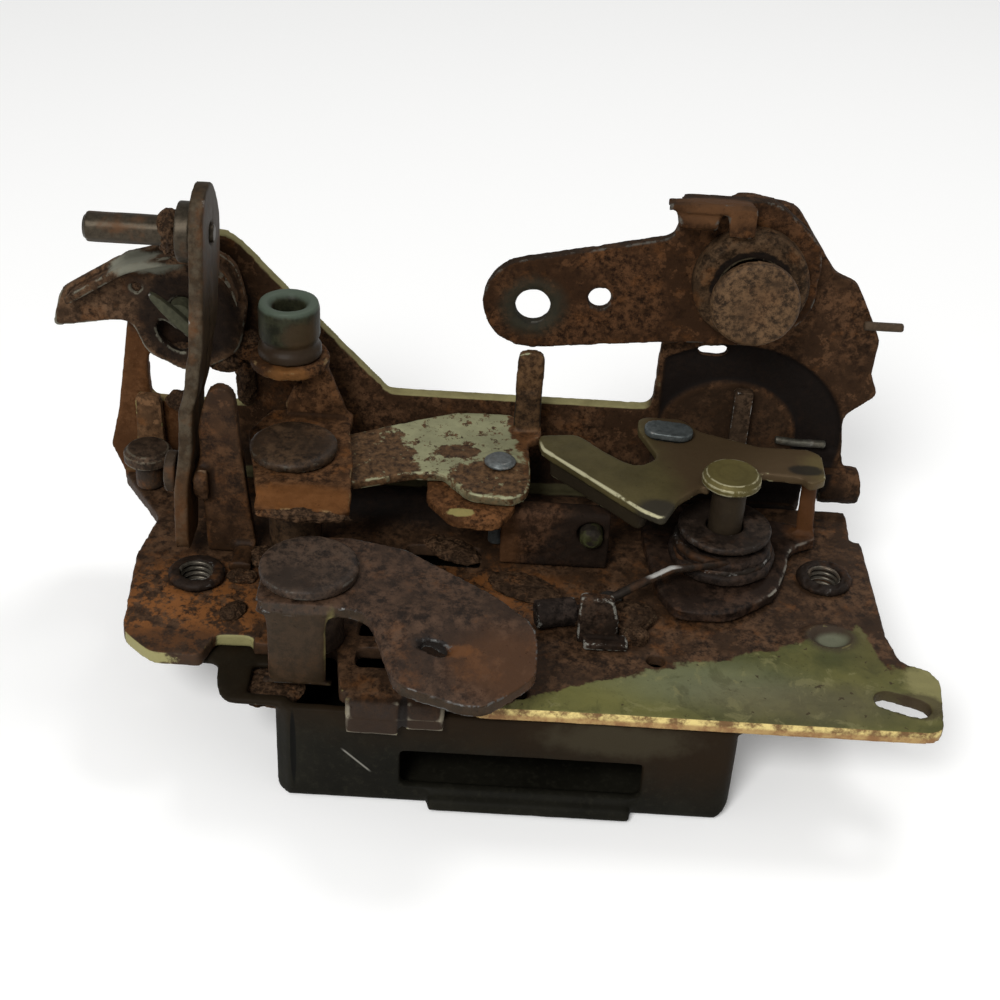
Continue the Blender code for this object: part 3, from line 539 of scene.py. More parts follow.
class Finish:
    """A node material. Its patterns are functions of the place on the piece, in latch millimetres."""

    def __init__(self, name):
        self.material = bpy.data.materials.new(name)
        self.material.use_nodes = True
        self.tree = self.material.node_tree
        self.shader = self.tree.nodes["Principled BSDF"]
        sources = self.tree.nodes.new("ShaderNodeTexCoord").outputs
        self.normal = Value(self, sources["Normal"])
        moved = self.vector("SUBTRACT", Value(self, sources["Object"]), LATCH_ORIGIN)
        scaled = {0: moved, "Scale": 1 / MM}
        self.place = self.node("ShaderNodeVectorMath", "Vector", scaled, operation="SCALE")
        self.wear = self.node("ShaderNodeAttribute", "Fac", {}, attribute_name="wear")
        self.colour = None

    def set(self, socket, value):
        if isinstance(value, Value):
            self.tree.links.new(value.socket, socket)
        elif socket.type == "RGBA":
            socket.default_value = (*value[:3], 1.0)
        else:
            socket.default_value = value

    def node(self, kind, output, inputs, **settings):
        """Adds a node, and gives the value of one of its outputs."""
        made = self.tree.nodes.new(kind)
        for key, value in settings.items():
            setattr(made, key, value)
        for key, value in inputs.items():
            self.set(made.inputs[key], value)
        return Value(self, made.outputs[output])

    def vector(self, operation, first, second=(0, 0, 0)):
        output = "Value" if operation in ("LENGTH", "DOT_PRODUCT") else "Vector"
        return self.node("ShaderNodeVectorMath", output, {0: first, 1: second}, operation=operation)

    def math(self, operation, first, second=0.0):
        return self.node("ShaderNodeMath", 0, {0: first, 1: second}, operation=operation)

    def most(self, first, second):
        return self.math("MAXIMUM", first, second)

    def noise(self, size, detail=4.0, rough=0.6, seed=0.0, twist=0.0):
        inputs = {"Vector": self.place, "W": seed, "Scale": 1 / size, "Detail": detail, "Roughness": rough}
        return self.node("ShaderNodeTexNoise", "Fac", inputs | {"Distortion": twist}, noise_dimensions="4D")

    def smooth(self, value, low, high):
        inputs = {"Value": value, "From Min": low, "From Max": high}
        return self.node("ShaderNodeMapRange", "Result", inputs, interpolation_type="SMOOTHSTEP")

    def mix(self, share, first, second):
        return self.node("ShaderNodeMix", 2, {0: share, 6: first, 7: second}, data_type="RGBA")

    def lay(self, share, tint):
        """Lays a tint over the colour so far: nothing where the share is 0, all of it where it is 1."""
        self.colour = self.mix(share, self.colour, tint)

    def spots(self, low, high, *noise):
        """1 where the noise is over the high level, 0 where it is under the low one."""
        return self.smooth(self.noise(*noise), low, high)

    def reach(self, centre, stretch):
        """The distance from a centre, with each direction stretched by its own factor."""
        offset = self.vector("SUBTRACT", self.place, centre)
        return self.vector("LENGTH", self.vector("MULTIPLY", offset, stretch))

    def near(self, centre, radii, soft, ragged, size, seed):
        """1 inside an ellipsoid, with a ragged edge."""
        offset = self.vector("DIVIDE", self.vector("SUBTRACT", self.place, centre), radii)
        reach = self.vector("LENGTH", offset) + self.noise(size, 5.0, 0.65, seed) * ragged
        return 1 - self.smooth(reach, 1 + ragged / 2 - soft, 1 + ragged / 2 + soft)

    def beyond(self, point, direction, width, ragged, size, seed):
        """1 on the far side of a plane through a point, with a ragged edge."""
        towards = Vector(direction).normalized()
        depth = self.vector("DOT_PRODUCT", self.vector("SUBTRACT", self.place, point), towards)
        wander = (self.noise(size, 6.0, 0.62, seed) - 0.5) * ragged
        return self.smooth(depth + wander, -width, width)

    def above(self, height, *edge):
        return self.beyond((0, 0, height), UP, *edge)

    def right_of(self, x, *edge):
        return self.beyond((x, 0, 0), RIGHT, *edge)

    def facing(self, direction, low, high):
        return self.smooth(self.vector("DOT_PRODUCT", self.normal, direction), low, high)

    def edges(self, share, seed):
        """1 on outer edges, in scattered patches that cover about the given share of them."""
        scattered = self.noise(3.2, 6.0, 0.75, seed)
        patches = self.smooth(scattered, 0.66 - share * 0.32, 0.72 - share * 0.32)
        return self.smooth(self.wear, 0.8, 1.5) * patches

    # Concave corners; the finishes darken them with painted shade and grime.
    def corners(self):
        return self.smooth(self.wear * -1.0, 0.15, 0.7)

    def bump(self, height, depth):
        """Fine relief; depth is in millimetres for a height of 1."""
        inputs = {"Strength": 1.0, "Distance": depth * MM, "Height": height}
        self.set(self.shader.inputs["Normal"], self.node("ShaderNodeBump", "Normal", inputs))

    def finish(self, roughness, metallic, specular):
        self.set(self.shader.inputs["Specular IOR Level"], specular)
        self.set(self.shader.inputs["Base Color"], self.colour)
        self.set(self.shader.inputs["Roughness"], roughness)
        self.set(self.shader.inputs["Metallic"], metallic)
        return self.material


def tone(colour, factor):
    return tuple(part * factor for part in colour)


ORANGE = (0.235, 0.088, 0.024)
# Near black: dark pits in rust, and painted shade in gaps, slots, hollows and corners.
PIT_AND_PAINTED_SHADE_BLACK = (0.007, 0.005, 0.004)
BRIGHT_STEEL = (0.30, 0.29, 0.27)
ZINC_YELLOW = (0.27, 0.235, 0.085)
ZINC_PALE = (0.30, 0.30, 0.18)
DARK_CAP = (0.041, 0.0255, 0.0165)


def rusted(name, base, grain, orange, worn, worn_share, seed, paint=None, gloss=0.0, blotches=0.6):
    """Brown rust: grains over broad patches, dark pits, orange bloom and rubbed edges."""
    look = Finish(name)
    broad = look.noise(9, 4, 0.6, seed)
    grains = look.noise(grain, 8, 0.75, seed + 1)
    look.colour = look.mix(look.smooth(grains, 0.38, 0.62), tone(base, 0.24), tone(base, 1.75))
    look.lay(look.smooth(broad, 0.4, 0.64), tone(base, 0.6))
    blotch = look.noise(grain * 2.8, 6, 0.72, seed + 6)
    look.lay(look.smooth(blotch, 0.54, 0.62) * blotches, tone(base, 0.3))
    look.lay((1 - look.smooth(blotch, 0.38, 0.45)) * blotches, tone(base, 2.1))
    bloom = look.spots(0.52, 0.66, 5.5, 7, 0.72, seed + 2) * orange
    bloom = bloom * look.smooth(grains, 0.3, 0.55)
    look.lay(bloom, tone(ORANGE, 0.75))
    specks = look.spots(0.64, 0.72, 0.7, 3, 0.6, seed + 3)
    look.lay(specks * 0.65, PIT_AND_PAINTED_SHADE_BLACK)
    # Painted shade and grime darken the concave corners.
    look.lay(look.corners() * 0.75, tone(base, 0.3))
    if paint:
        paint(look)
    rub = look.edges(worn_share, seed + 4) * 0.8
    look.lay(rub, worn)
    roughness = grains * 0.35 + (0.55 - gloss)
    roughness = roughness - rub * 0.25
    look.bump(grains * 0.8 - specks * 0.5, 0.22 - gloss * 0.6)
    return look.finish(roughness, rub * 0.5, 0.06 + gloss * 0.6)


def worn_steel(name, base, seed, rust, gloss, metal, paint=None):
    """Dark bare steel with fine scratches and rust staining."""
    look = Finish(name)
    fine = look.noise(0.8, 6, 0.7, seed)
    broad = look.noise(6, 5, 0.6, seed + 1)
    look.colour = look.mix(look.smooth(fine, 0.3, 0.7), tone(base, 0.65), tone(base, 1.3))
    stain = look.smooth(broad, 0.5, 0.68) * rust
    look.lay(stain, tone(ORANGE, 0.55))
    # Painted shade and grime darken the concave corners.
    look.lay(look.corners() * 0.6, PIT_AND_PAINTED_SHADE_BLACK)
    if paint:
        paint(look)
    rub = look.edges(0.25, seed + 4) * 0.7
    look.lay(rub, BRIGHT_STEEL)
    roughness = (fine + stain) * 0.3 + gloss
    look.bump(fine, 0.03)
    clean = 1 - stain
    return look.finish(roughness, clean * metal, 0.12)


def plated(name, base, seed, lost, brown, paint, edge, edge_share):
    """Satin zinc plating that has gone to brown in patches."""
    look = Finish(name)
    fine = look.noise(1, 7, 0.72, seed)
    cloud = look.noise(9, 4, 0.6, seed + 1)
    look.colour = look.mix(look.smooth(cloud, 0.3, 0.7), tone(base, 0.78), tone(base, 1.2))
    look.lay(look.smooth(fine, 0.45, 0.75) * 0.35, tone(base, 0.55))
    flaked = look.smooth(look.noise(4.5, 7, 0.68, seed + 2) + (lost - 0.5), 0.5, 0.58)
    rust = look.mix(look.smooth(fine, 0.35, 0.65), tone(brown, 0.5), tone(brown, 1.5))
    look.lay(flaked, rust)
    specks = look.spots(0.7, 0.76, 1.1, 2, 0.5, seed + 3)
    look.lay(specks * 0.7, tone(brown, 0.5))
    if paint:
        paint(look)
    rub = look.edges(edge_share, seed + 4) * 0.85
    look.lay(rub, edge)
    roughness = look.most(flaked, fine) * 0.35 + 0.38
    look.bump(fine - flaked * 0.8, 0.05)
    return look.finish(roughness, (1 - flaked) * 0.3, 0.14)


def face_plate_paint(look):
    """Zinc survives on the plate's front right and on its front edge; the rest is rust."""
    front_right = look.beyond((12, -34, 0), (0.386, -0.922, 0), 0.35, 8, 6, 21)
    inside = 1 - look.beyond((66, -18, 0), (0.97, 0.26, 0), 0.3, 3.5, 3, 22)
    ear = look.near((71, -30, 0), (7, 8.5, 5), 0.08, 0.8, 3, 23)
    cloud = look.noise(9, 4, 0.6, 24)
    zinc = look.mix(look.smooth(cloud, 0.32, 0.66), (0.058, 0.06, 0.02), (0.118, 0.11, 0.034))
    gold = look.near((17, -34, 0), (14, 6, 5), 0.6, 0.8, 5, 78)
    zinc = look.mix(gold * 0.6, zinc, (0.155, 0.146, 0.044))
    pale = look.near((37, -28, 0), (14, 5.2, 5), 0.7, 0.6, 7, 79)
    zinc = look.mix(pale * 0.7, zinc, (0.14, 0.15, 0.082))
    smear = look.spots(0.5, 0.6, 7, 6, 0.7, 94, 0.8)
    zinc = look.mix(smear * 0.45, zinc, (0.044, 0.044, 0.016))
    shine = look.spots(0.54, 0.62, 5, 6, 0.7, 95, 0.8)
    zinc = look.mix(shine * 0.5, zinc, (0.2, 0.185, 0.078))
    pink = look.near((52, -31.5, 0), (15, 4.5, 5), 0.7, 0.8, 6, 25)
    zinc = look.mix(pink * 0.45, zinc, (0.13, 0.108, 0.066))
    back = look.near((66, -9, 0), (6, 12, 5), 0.7, 0.8, 5, 80)
    zinc = look.mix(back * 0.6, zinc, (0.066, 0.052, 0.02))
    specks = look.spots(0.64, 0.68, 1.4, 4, 0.65, 26)
    zinc = look.mix(specks * 0.8, zinc, (0.034, 0.021, 0.011))
    cover = front_right * look.most(inside, ear)
    flecks = look.spots(0.3, 0.36, 1.8, 6, 0.7, 81)
    look.lay(cover * flecks, zinc)
    lobe = look.near((-44, -18, 0), (14, 13, 6), 0.5, 0.8, 4, 27)
    mottle = look.spots(0.46, 0.56, 2.6, 6, 0.72, 82)
    look.lay(lobe * mottle * 0.9, tone(ORANGE, 0.82))
    verge = look.near((-43, -26.4, 0), (12, 4.6, 3), 0.4, 0.9, 2.4, 96)
    look.lay(verge * 0.65, (0.022, 0.013, 0.008))
    rib = look.near((2, -9.5, 0.5), (17, 7.5, 4), 0.5, 0.9, 3, 28)
    look.lay(rib * mottle * 0.85, tone(ORANGE, 0.72))
    ring = look.near(DIMPLE, (4.2, 3.4, 2), 0.2, 0.3, 1.5, 29)
    look.lay(ring * 0.9, (0.04, 0.028, 0.018))
    dimple = look.near((59.4, -15.7, 0), (2.5, 1.9, 2), 0.25, 0.3, 1.5, 29)
    look.lay(dimple * 0.9, (0.125, 0.13, 0.085))
    # Painted shade on the plate under the link and crank levers.
    shade = look.near((-8, 17, 0), (24, 7.5, 5), 0.4, 0.5, 4, 73)
    look.lay(shade * 0.85, (0.008, 0.006, 0.005))
    # Painted highlight on the ear.
    shine = look.near((73.2, -26, 0), (3.6, 5.6, 3), 0.3, 1.2, 2.4, 51)
    look.lay(shine * cover * 0.7, (0.26, 0.235, 0.1))
    slot = look.near((70.2, -30.8, 0), (4.6, 3.2, 5), 0.15, 0.8, 2.4, 83)
    look.lay(slot * 0.7, (0.036, 0.024, 0.013))
    side = 1 - look.facing(UP, 0.5, 0.8)
    look.lay(side * 0.7, (0.036, 0.02, 0.011))
    front = look.facing(FRONT, 0.35, 0.75) * side
    edge = front * look.right_of(3.4, 0.4, 1, 2, 31)
    edge = edge * look.beyond((0, -35, 0), (0, -1, 0), 0.3, 0.2, 2, 31)
    strip = look.mix(look.spots(0.4, 0.6, 3, 6, 0.72, 30), (0.155, 0.085, 0.034), (0.72, 0.57, 0.22))
    low = 1 - look.above(-1.2, 0.3, 0.9, 2.5, 97)
    strip = look.mix(low * 0.7, strip, (0.27, 0.135, 0.055))
    look.lay(edge * 0.95, strip)
    chip = look.most(look.near((-48.6, -26.4, -1.3), (6.4, 3.6, 1.7), 0.1, 1.1, 1.5, 84),
                     look.near((-34.5, -23.4, -1.2), (3.2, 1.4, 2.2), 0.1, 0.6, 1.2, 85))
    look.lay(chip * side * 0.85, (0.3, 0.275, 0.12))
    # Painted shade darkens the front tabs.
    tabs = look.near((-8.6, -37.8, -3), (9, 3, 4), 0.3, 0.2, 2, 98)
    look.lay(tabs * 0.8, (0.018, 0.01, 0.0055))
    rim = tabs * look.smooth(look.wear, 0.45, 1.1) * look.spots(0.36, 0.46, 1.6)
    look.lay(rim * 0.8, (0.27, 0.24, 0.175))
    # Painted shade in the gap between the front tabs.
    gap = look.near((-7.4, -37.4, -2.6), (0.8, 3.2, 4), 0.25, 0.2, 1, 99)
    look.lay(gap * 0.9, PIT_AND_PAINTED_SHADE_BLACK)


def back_plate_paint(look):
    """Olive zinc is left along the top edge, from the left hump to the low middle."""
    top = look.facing(UP, 0.3, 0.6)
    middle = 1 - look.right_of(30, 1, 2, 3, 33)
    olive = look.mix(look.noise(3, 4, 0.6, 34), (0.085, 0.07, 0.028), (0.33, 0.3, 0.14))
    look.lay(top * middle * 0.9, olive)
    reach = look.reach(ARCH_CENTRE, (0.87, 0, 1))
    arch = look.smooth(reach, 10, 11) * (1 - look.smooth(reach, 17.4, 18.2))
    arch = arch * look.right_of(32, 0.6, 1, 2, 35)
    arch = arch * look.facing(FRONT, 0.2, 0.5)
    look.lay(arch * 0.95, (0.0068, 0.005, 0.0042))
    under = (1 - look.smooth(reach, 9, 10.4)) * look.facing(FRONT, 0.2, 0.5)
    look.lay(under * 0.55, (0.02, 0.012, 0.007))
    # Painted shade along the foot of the back plate.
    low = 1 - look.beyond((0, 0, 6.5), (0.02, 0, 1), 3, 6, 5, 74)
    look.lay(low * 0.7, (0.01, 0.007, 0.005))
    left = 1 - look.right_of(-52, 3, 4, 4, 36)
    look.lay(left * 0.4, tone(ORANGE, 0.5))
    # Painted shade on the back plate behind the beak.
    behind = look.near((-48.6, 24.5, 31), (11, 3, 10), 0.2, 0.6, 3, 52)
    look.lay(behind * 0.85, PIT_AND_PAINTED_SHADE_BLACK)


def block_paint(look):
    """Orange at its left end, almost black round the pin."""
    left = 1 - look.beyond((9, 0, 0), (1, 0, 0.2), 1.6, 5, 3, 61)
    look.lay(left * 0.6, (0.095, 0.042, 0.017))
    dark = look.beyond((12.5, 0, 5), (1, 0, -0.5), 1.8, 5, 3, 62)
    look.lay(dark * 0.8, (0.011, 0.0075, 0.0055))


def crank_paint(look):
    lip = look.near((-25.5, -10.6, 17.6), (9.5, 3.2, 3), 0.4, 0.6, 1.8, 37)
    look.lay(lip * 0.75, (0.118, 0.045, 0.0125))
    # Painted shade under the crank's front lip.
    under = look.near((-25.5, -12.8, 15.6), (9, 1.3, 1.2), 0.4, 0.6, 1, 38)
    look.lay(under * 0.8, PIT_AND_PAINTED_SHADE_BLACK)
    eye = look.near((-30.5, 9.4, 28), (3.6, 2, 1.6), 0.25, 0.6, 1.5, 93)
    look.lay(eye * 0.7, (0.15, 0.066, 0.02))


def release_paint(look):
    end = look.near((8, -39, 9.5), (8, 7, 5), 0.5, 0.8, 4, 39)
    look.lay(end * 0.35, tone(ORANGE, 0.45))
    # Painted shade on the lever's front-facing faces.
    tab = look.facing(FRONT, 0.6, 0.85)
    look.lay(tab * 0.7, (0.022, 0.0135, 0.005))
    # Painted shade on the inner walls of the slot.
    slot = look.near((-3.2, -37.1, 11.5), (5.4, 2.5, 4), 0.12, 0.5, 1.2, 58)
    wall = 1 - look.facing(UP, 0.75, 0.97)
    look.lay(slot * wall * 0.9, PIT_AND_PAINTED_SHADE_BLACK)
    crumb = look.near((0.6, -37.8, 11.8), (2.6, 1.2, 2), 0.3, 1.4, 0.8, 59)
    look.lay(crumb * 0.5, tone(ORANGE, 0.6))
    edge = look.near((-18.8, -31.5, 5), (0.9, 2, 6), 0.4, 0.7, 1.5, 40)
    look.lay(edge * 0.7, ZINC_YELLOW)


def link_paint(look):
    """Pale plating flakes off to rust: brown to the left and round the rivet, orange towards the finger."""
    brown = look.mix(look.spots(0.35, 0.65, 1.2, 7, 0.72, 42), (0.022, 0.0115, 0.0055),
                     (0.135, 0.072, 0.032))
    orange = look.mix(look.spots(0.35, 0.65, 1.4, 7, 0.72, 75), (0.045, 0.021, 0.009), (0.15, 0.066, 0.025))
    left = 1 - look.beyond((-9.5, 8, 0), (0.9, 0.44, 0), 0.35, 12, 4, 41)
    bare = look.near((-2.4, 9.4, 15), (3.6, 2.4, 3), 0.06, 1.5, 1.7, 76)
    rivet = look.near((5, 2.2, 15), (8, 5.6, 4), 0.06, 1.1, 2.4, 44)
    lost = look.most(look.most(left, bare), rivet)
    flecks = 1 - look.spots(0.36, 0.4, 1.5, 5, 0.65, 77)
    lost = lost * (1 - flecks * 0.8)
    spray = look.spots(0.545, 0.565, 2.6, 7, 0.78, 57)
    lost = look.most(lost, spray)
    look.lay(lost, brown)
    right = look.beyond((7.4, 12, 0), (1, 0.25, 0), 0.4, 6, 2.4, 45)
    look.lay(right, orange)
    finger = look.above(16.4, 0.3, 0.6, 1, 43)
    look.lay(finger, brown)
    low_finger = finger * (1 - look.above(23.6, 0.5, 1.2, 1.5, 78))
    look.lay(low_finger * 0.9, (0.01, 0.0095, 0.008))
    front = look.facing(FRONT, 0.5, 0.8)
    look.lay(front * 0.7, brown)


def lower_plate_paint(look):
    patch = look.near((-1, -5.4, 13.4), (2.2, 1.1, 1.2), 0.15, 1, 1.2, 46)
    look.lay(patch * 0.8, ZINC_YELLOW)


def fork_paint(look):
    """Browner towards the right, dark at its front corner, painted shade down the flange, rubbed bright at
    the fold.
    """
    right = look.beyond((31.5, 8, 0), (1, 0.25, 0), 3, 7, 5, 47)
    look.lay(right * 0.9, (0.072, 0.045, 0.023))
    tail = look.near((60, 8, 17), (5, 5, 4), 0.4, 0.8, 2.5, 86)
    look.lay(tail * 0.7, (0.125, 0.098, 0.038))
    corner = look.near((30.4, -7.4, 17), (3.6, 2.8, 4), 0.3, 0.7, 2, 87)
    look.lay(corner * 0.85, (0.03, 0.026, 0.02))
    spot = look.near((55.4, 6.8, 17), (3, 1.6, 3), 0.25, 0.6, 1.6, 88)
    look.lay(spot * 0.85, (0.014, 0.013, 0.011))
    # Painted shade on the flange below the fold.
    under = 1 - look.above(15.7, 0.3, 0.4, 2, 89)
    look.lay(under * 0.85, (0.016, 0.011, 0.008))
    line = 1 - look.beyond((13.2, 9, 0), (0.724, 0.69, 0), 0.6, 0.6, 2, 48)
    line = line * look.above(17, 0.15, 0.1, 2, 48)
    line = line * look.spots(0.36, 0.46, 4, 5, 0.7, 49)
    fold = line * look.smooth(look.wear, 0.5, 1.2)
    look.lay(fold * (1 - under), (0.46, 0.43, 0.27))


def pin_paint(look):
    """The plating is left on the pin's head; its shank has rusted, and a shallow ring shows on top."""
    shank = 1 - look.above(18.5, 0.25, 0.3, 1, 67)
    rust = look.mix(look.noise(1.5, 5, 0.7, 68), (0.01, 0.007, 0.005), (0.042, 0.028, 0.018))
    look.lay(shank, rust)
    reach = look.reach(SPRING_AXIS, (1, 1, 0))
    ring = look.smooth(reach, 1.8, 2.3) * (1 - look.smooth(reach, 2.4, 3))
    look.lay(ring * 0.3, (0.075, 0.058, 0.02))


def spring_paint(look):
    """A painted highlight runs along the top of the spring's straight end where it leaves the coils."""
    # Painted highlight along the top of the wire.
    bright = look.near((31.6, -9.8, 7.2), (3.4, 1.6, 1.6), 0.3, 0.6, 1.5, 69)
    top = look.facing((0, -0.35, 0.94), 0.75, 0.95)
    look.lay(bright * top * 0.9, (0.42, 0.41, 0.38))


def cam_paint(look):
    tab = look.near((57.5, 10.5, 9), (4, 3, 8), 0.4, 0.7, 2, 49)
    look.lay(tab * 0.5, tone(ORANGE, 0.6))
    # Painted highlight along the cam's worn right edge.
    rim = look.near((54, -2, 2.6), (6.5, 12, 1.1), 0.3, 0.3, 2, 56)
    rim = rim * look.smooth(look.wear, 0.9, 1.6) * look.spots(0.42, 0.52, 2.4)
    look.lay(rim * 0.8, (0.24, 0.22, 0.18))


def key_lever_paint(look):
    """A dark greasy ring round the rod eye and blackened top edge."""
    eye = look.near(KEY_EYE, (5.2, 4, 5.2), 0.3, 0.4, 1.5, 50)
    look.lay(eye * 0.75, (0.024, 0.026, 0.018))
    top = look.facing(UP, 0.3, 0.6) * look.noise(3, 4, 0.7, 51)
    look.lay(top, (0.012, 0.012, 0.01))
    shelf = look.near((37, 16.6, 58.4), (7.5, 3.6, 2.6), 0.3, 0.7, 2, 55)
    look.lay(shelf * 0.65, (0.105, 0.048, 0.02))


def key_collar_paint(look):
    """Painted shade: the gap round the cap's neck is painted black."""
    reach = look.reach(KEY_AXIS, (1, 0, 1)) + look.noise(2, 5, 0.7, 54) * 1.6
    look.lay((1 - look.smooth(reach, 7.3, 7.7)) * 0.92, PIT_AND_PAINTED_SHADE_BLACK)


def remote_paint(look):
    """Bright scratches down the front edge and rust at the lower end."""
    front = look.facing(FRONT, 0.2, 0.6) * look.spots(0.4, 0.65, 2, 5, 0.7, 52)
    look.lay(front * 0.45, (0.1, 0.082, 0.055))
    ends = 1 - look.above(16, 6, 6, 4, 53)
    look.lay(ends * 0.35, tone(ORANGE, 0.4))


def beak_paint(look):
    """A pale rubbed streak on the ridge, and painted shade in the hollow round the rivet."""
    ridge = look.near((-55.6, 20.5, 41.2), (6.2, 3.4, 2), 0.2, 0.9, 2.2, 54)
    look.lay(ridge * 0.85, (0.2, 0.2, 0.155))
    # Painted shade in the hollow round the rivet.
    hollow = look.near((-48.8, 21.6, 31.2), (8.8, 4, 8.6), 0.15, 0.5, 2.6, 90)
    hollow = hollow * (1 - look.beyond((0, 20.4, 0), (0, -1, 0), 0.3, 0.2, 2, 90))
    look.lay(hollow * 0.88, (0.009, 0.006, 0.0045))
    hole = look.near((-57.4, 21.6, 36.4), (1.9, 2, 1.9), 0.25, 0.3, 1, 91)
    look.lay(hole * 0.7, (0.02, 0.013, 0.009))


def housing_paint(look):
    """Brown dust thickens towards the top and the right; a pale scratch runs down the left front."""
    dust = look.beyond((0, 0, -8), (0.15, 0, 1), 6, 8, 5, 55)
    look.lay(dust * 0.85, (0.0165, 0.0092, 0.0038))
    pale = look.near((25, -37, -5.4), (10.5, 4, 3.2), 0.4, 1.2, 2.4, 56)
    look.lay(pale * 0.4, (0.058, 0.05, 0.03))
    offset = look.vector("SUBTRACT", look.place, (-14.5, -36.5, -12.4))
    across = look.math("ABSOLUTE", look.vector("DOT_PRODUCT", offset, Vector((0.7, 0, 0.71))))
    along = look.math("ABSOLUTE", look.vector("DOT_PRODUCT", offset, Vector((0.71, 0, -0.7))))
    seam = look.near((-24.1, -36.6, -10.6), (0.45, 3, 7.2), 0.15, 0.1, 2, 53)
    look.lay(seam * 0.9, (0.003, 0.003, 0.0025))
    scratch = (1 - look.smooth(across, 0.05, 0.22)) * (1 - look.smooth(along, 2.2, 3.4))
    scratch = scratch * look.facing(FRONT, 0.6, 0.9)
    look.lay(scratch * 0.8, (0.22, 0.21, 0.18))


def bushing_paint(look):
    rim = look.above(37.9, 0.4, 0.8, 1.5, 57)
    look.lay(rim, (0.064, 0.082, 0.06))
    collar = 1 - look.above(32.4, 0.6, 1.6, 1.5, 58)
    look.lay(collar * 0.9, (0.026, 0.015, 0.008))
    brown = look.near((-28.5, 12, 34.4), (3.4, 3.4, 2.6), 0.3, 0.8, 1.6, 92)
    look.lay(brown * 0.7, (0.046, 0.027, 0.012))


def coated(name, base, seed, paint):
    """A worn dark coating with dust in it."""
    look = Finish(name)
    fine = look.noise(0.9, 7, 0.7, seed)
    cloud = look.noise(10, 4, 0.6, seed + 1)
    look.colour = look.mix(look.smooth(cloud, 0.3, 0.7), tone(base, 0.7), tone(base, 1.25))
    look.lay(look.smooth(fine, 0.5, 0.66) * 0.6, tone(base, 2))
    paint(look)
    chips = look.edges(0.2, seed + 4) * 0.6
    look.lay(chips, (0.12, 0.11, 0.085))
    look.bump(fine, 0.04)
    return look.finish(fine * 0.35 + 0.42, 0, 0.05)


def plastic(name, base, seed, paint=None):
    """Mottled, grimy moulded plastic."""
    look = Finish(name)
    mottle = look.noise(1.8, 6, 0.7, seed)
    look.colour = look.mix(look.smooth(mottle, 0.36, 0.64), tone(base, 0.5), tone(base, 1.5))
    grime = look.spots(0.5, 0.66, 4, 5, 0.65, seed + 1)
    look.lay(grime * 0.6, (0.045, 0.028, 0.014))
    if paint:
        paint(look)
    look.bump(mottle, 0.04)
    return look.finish(mottle * 0.3 + 0.36, 0, 0.14)


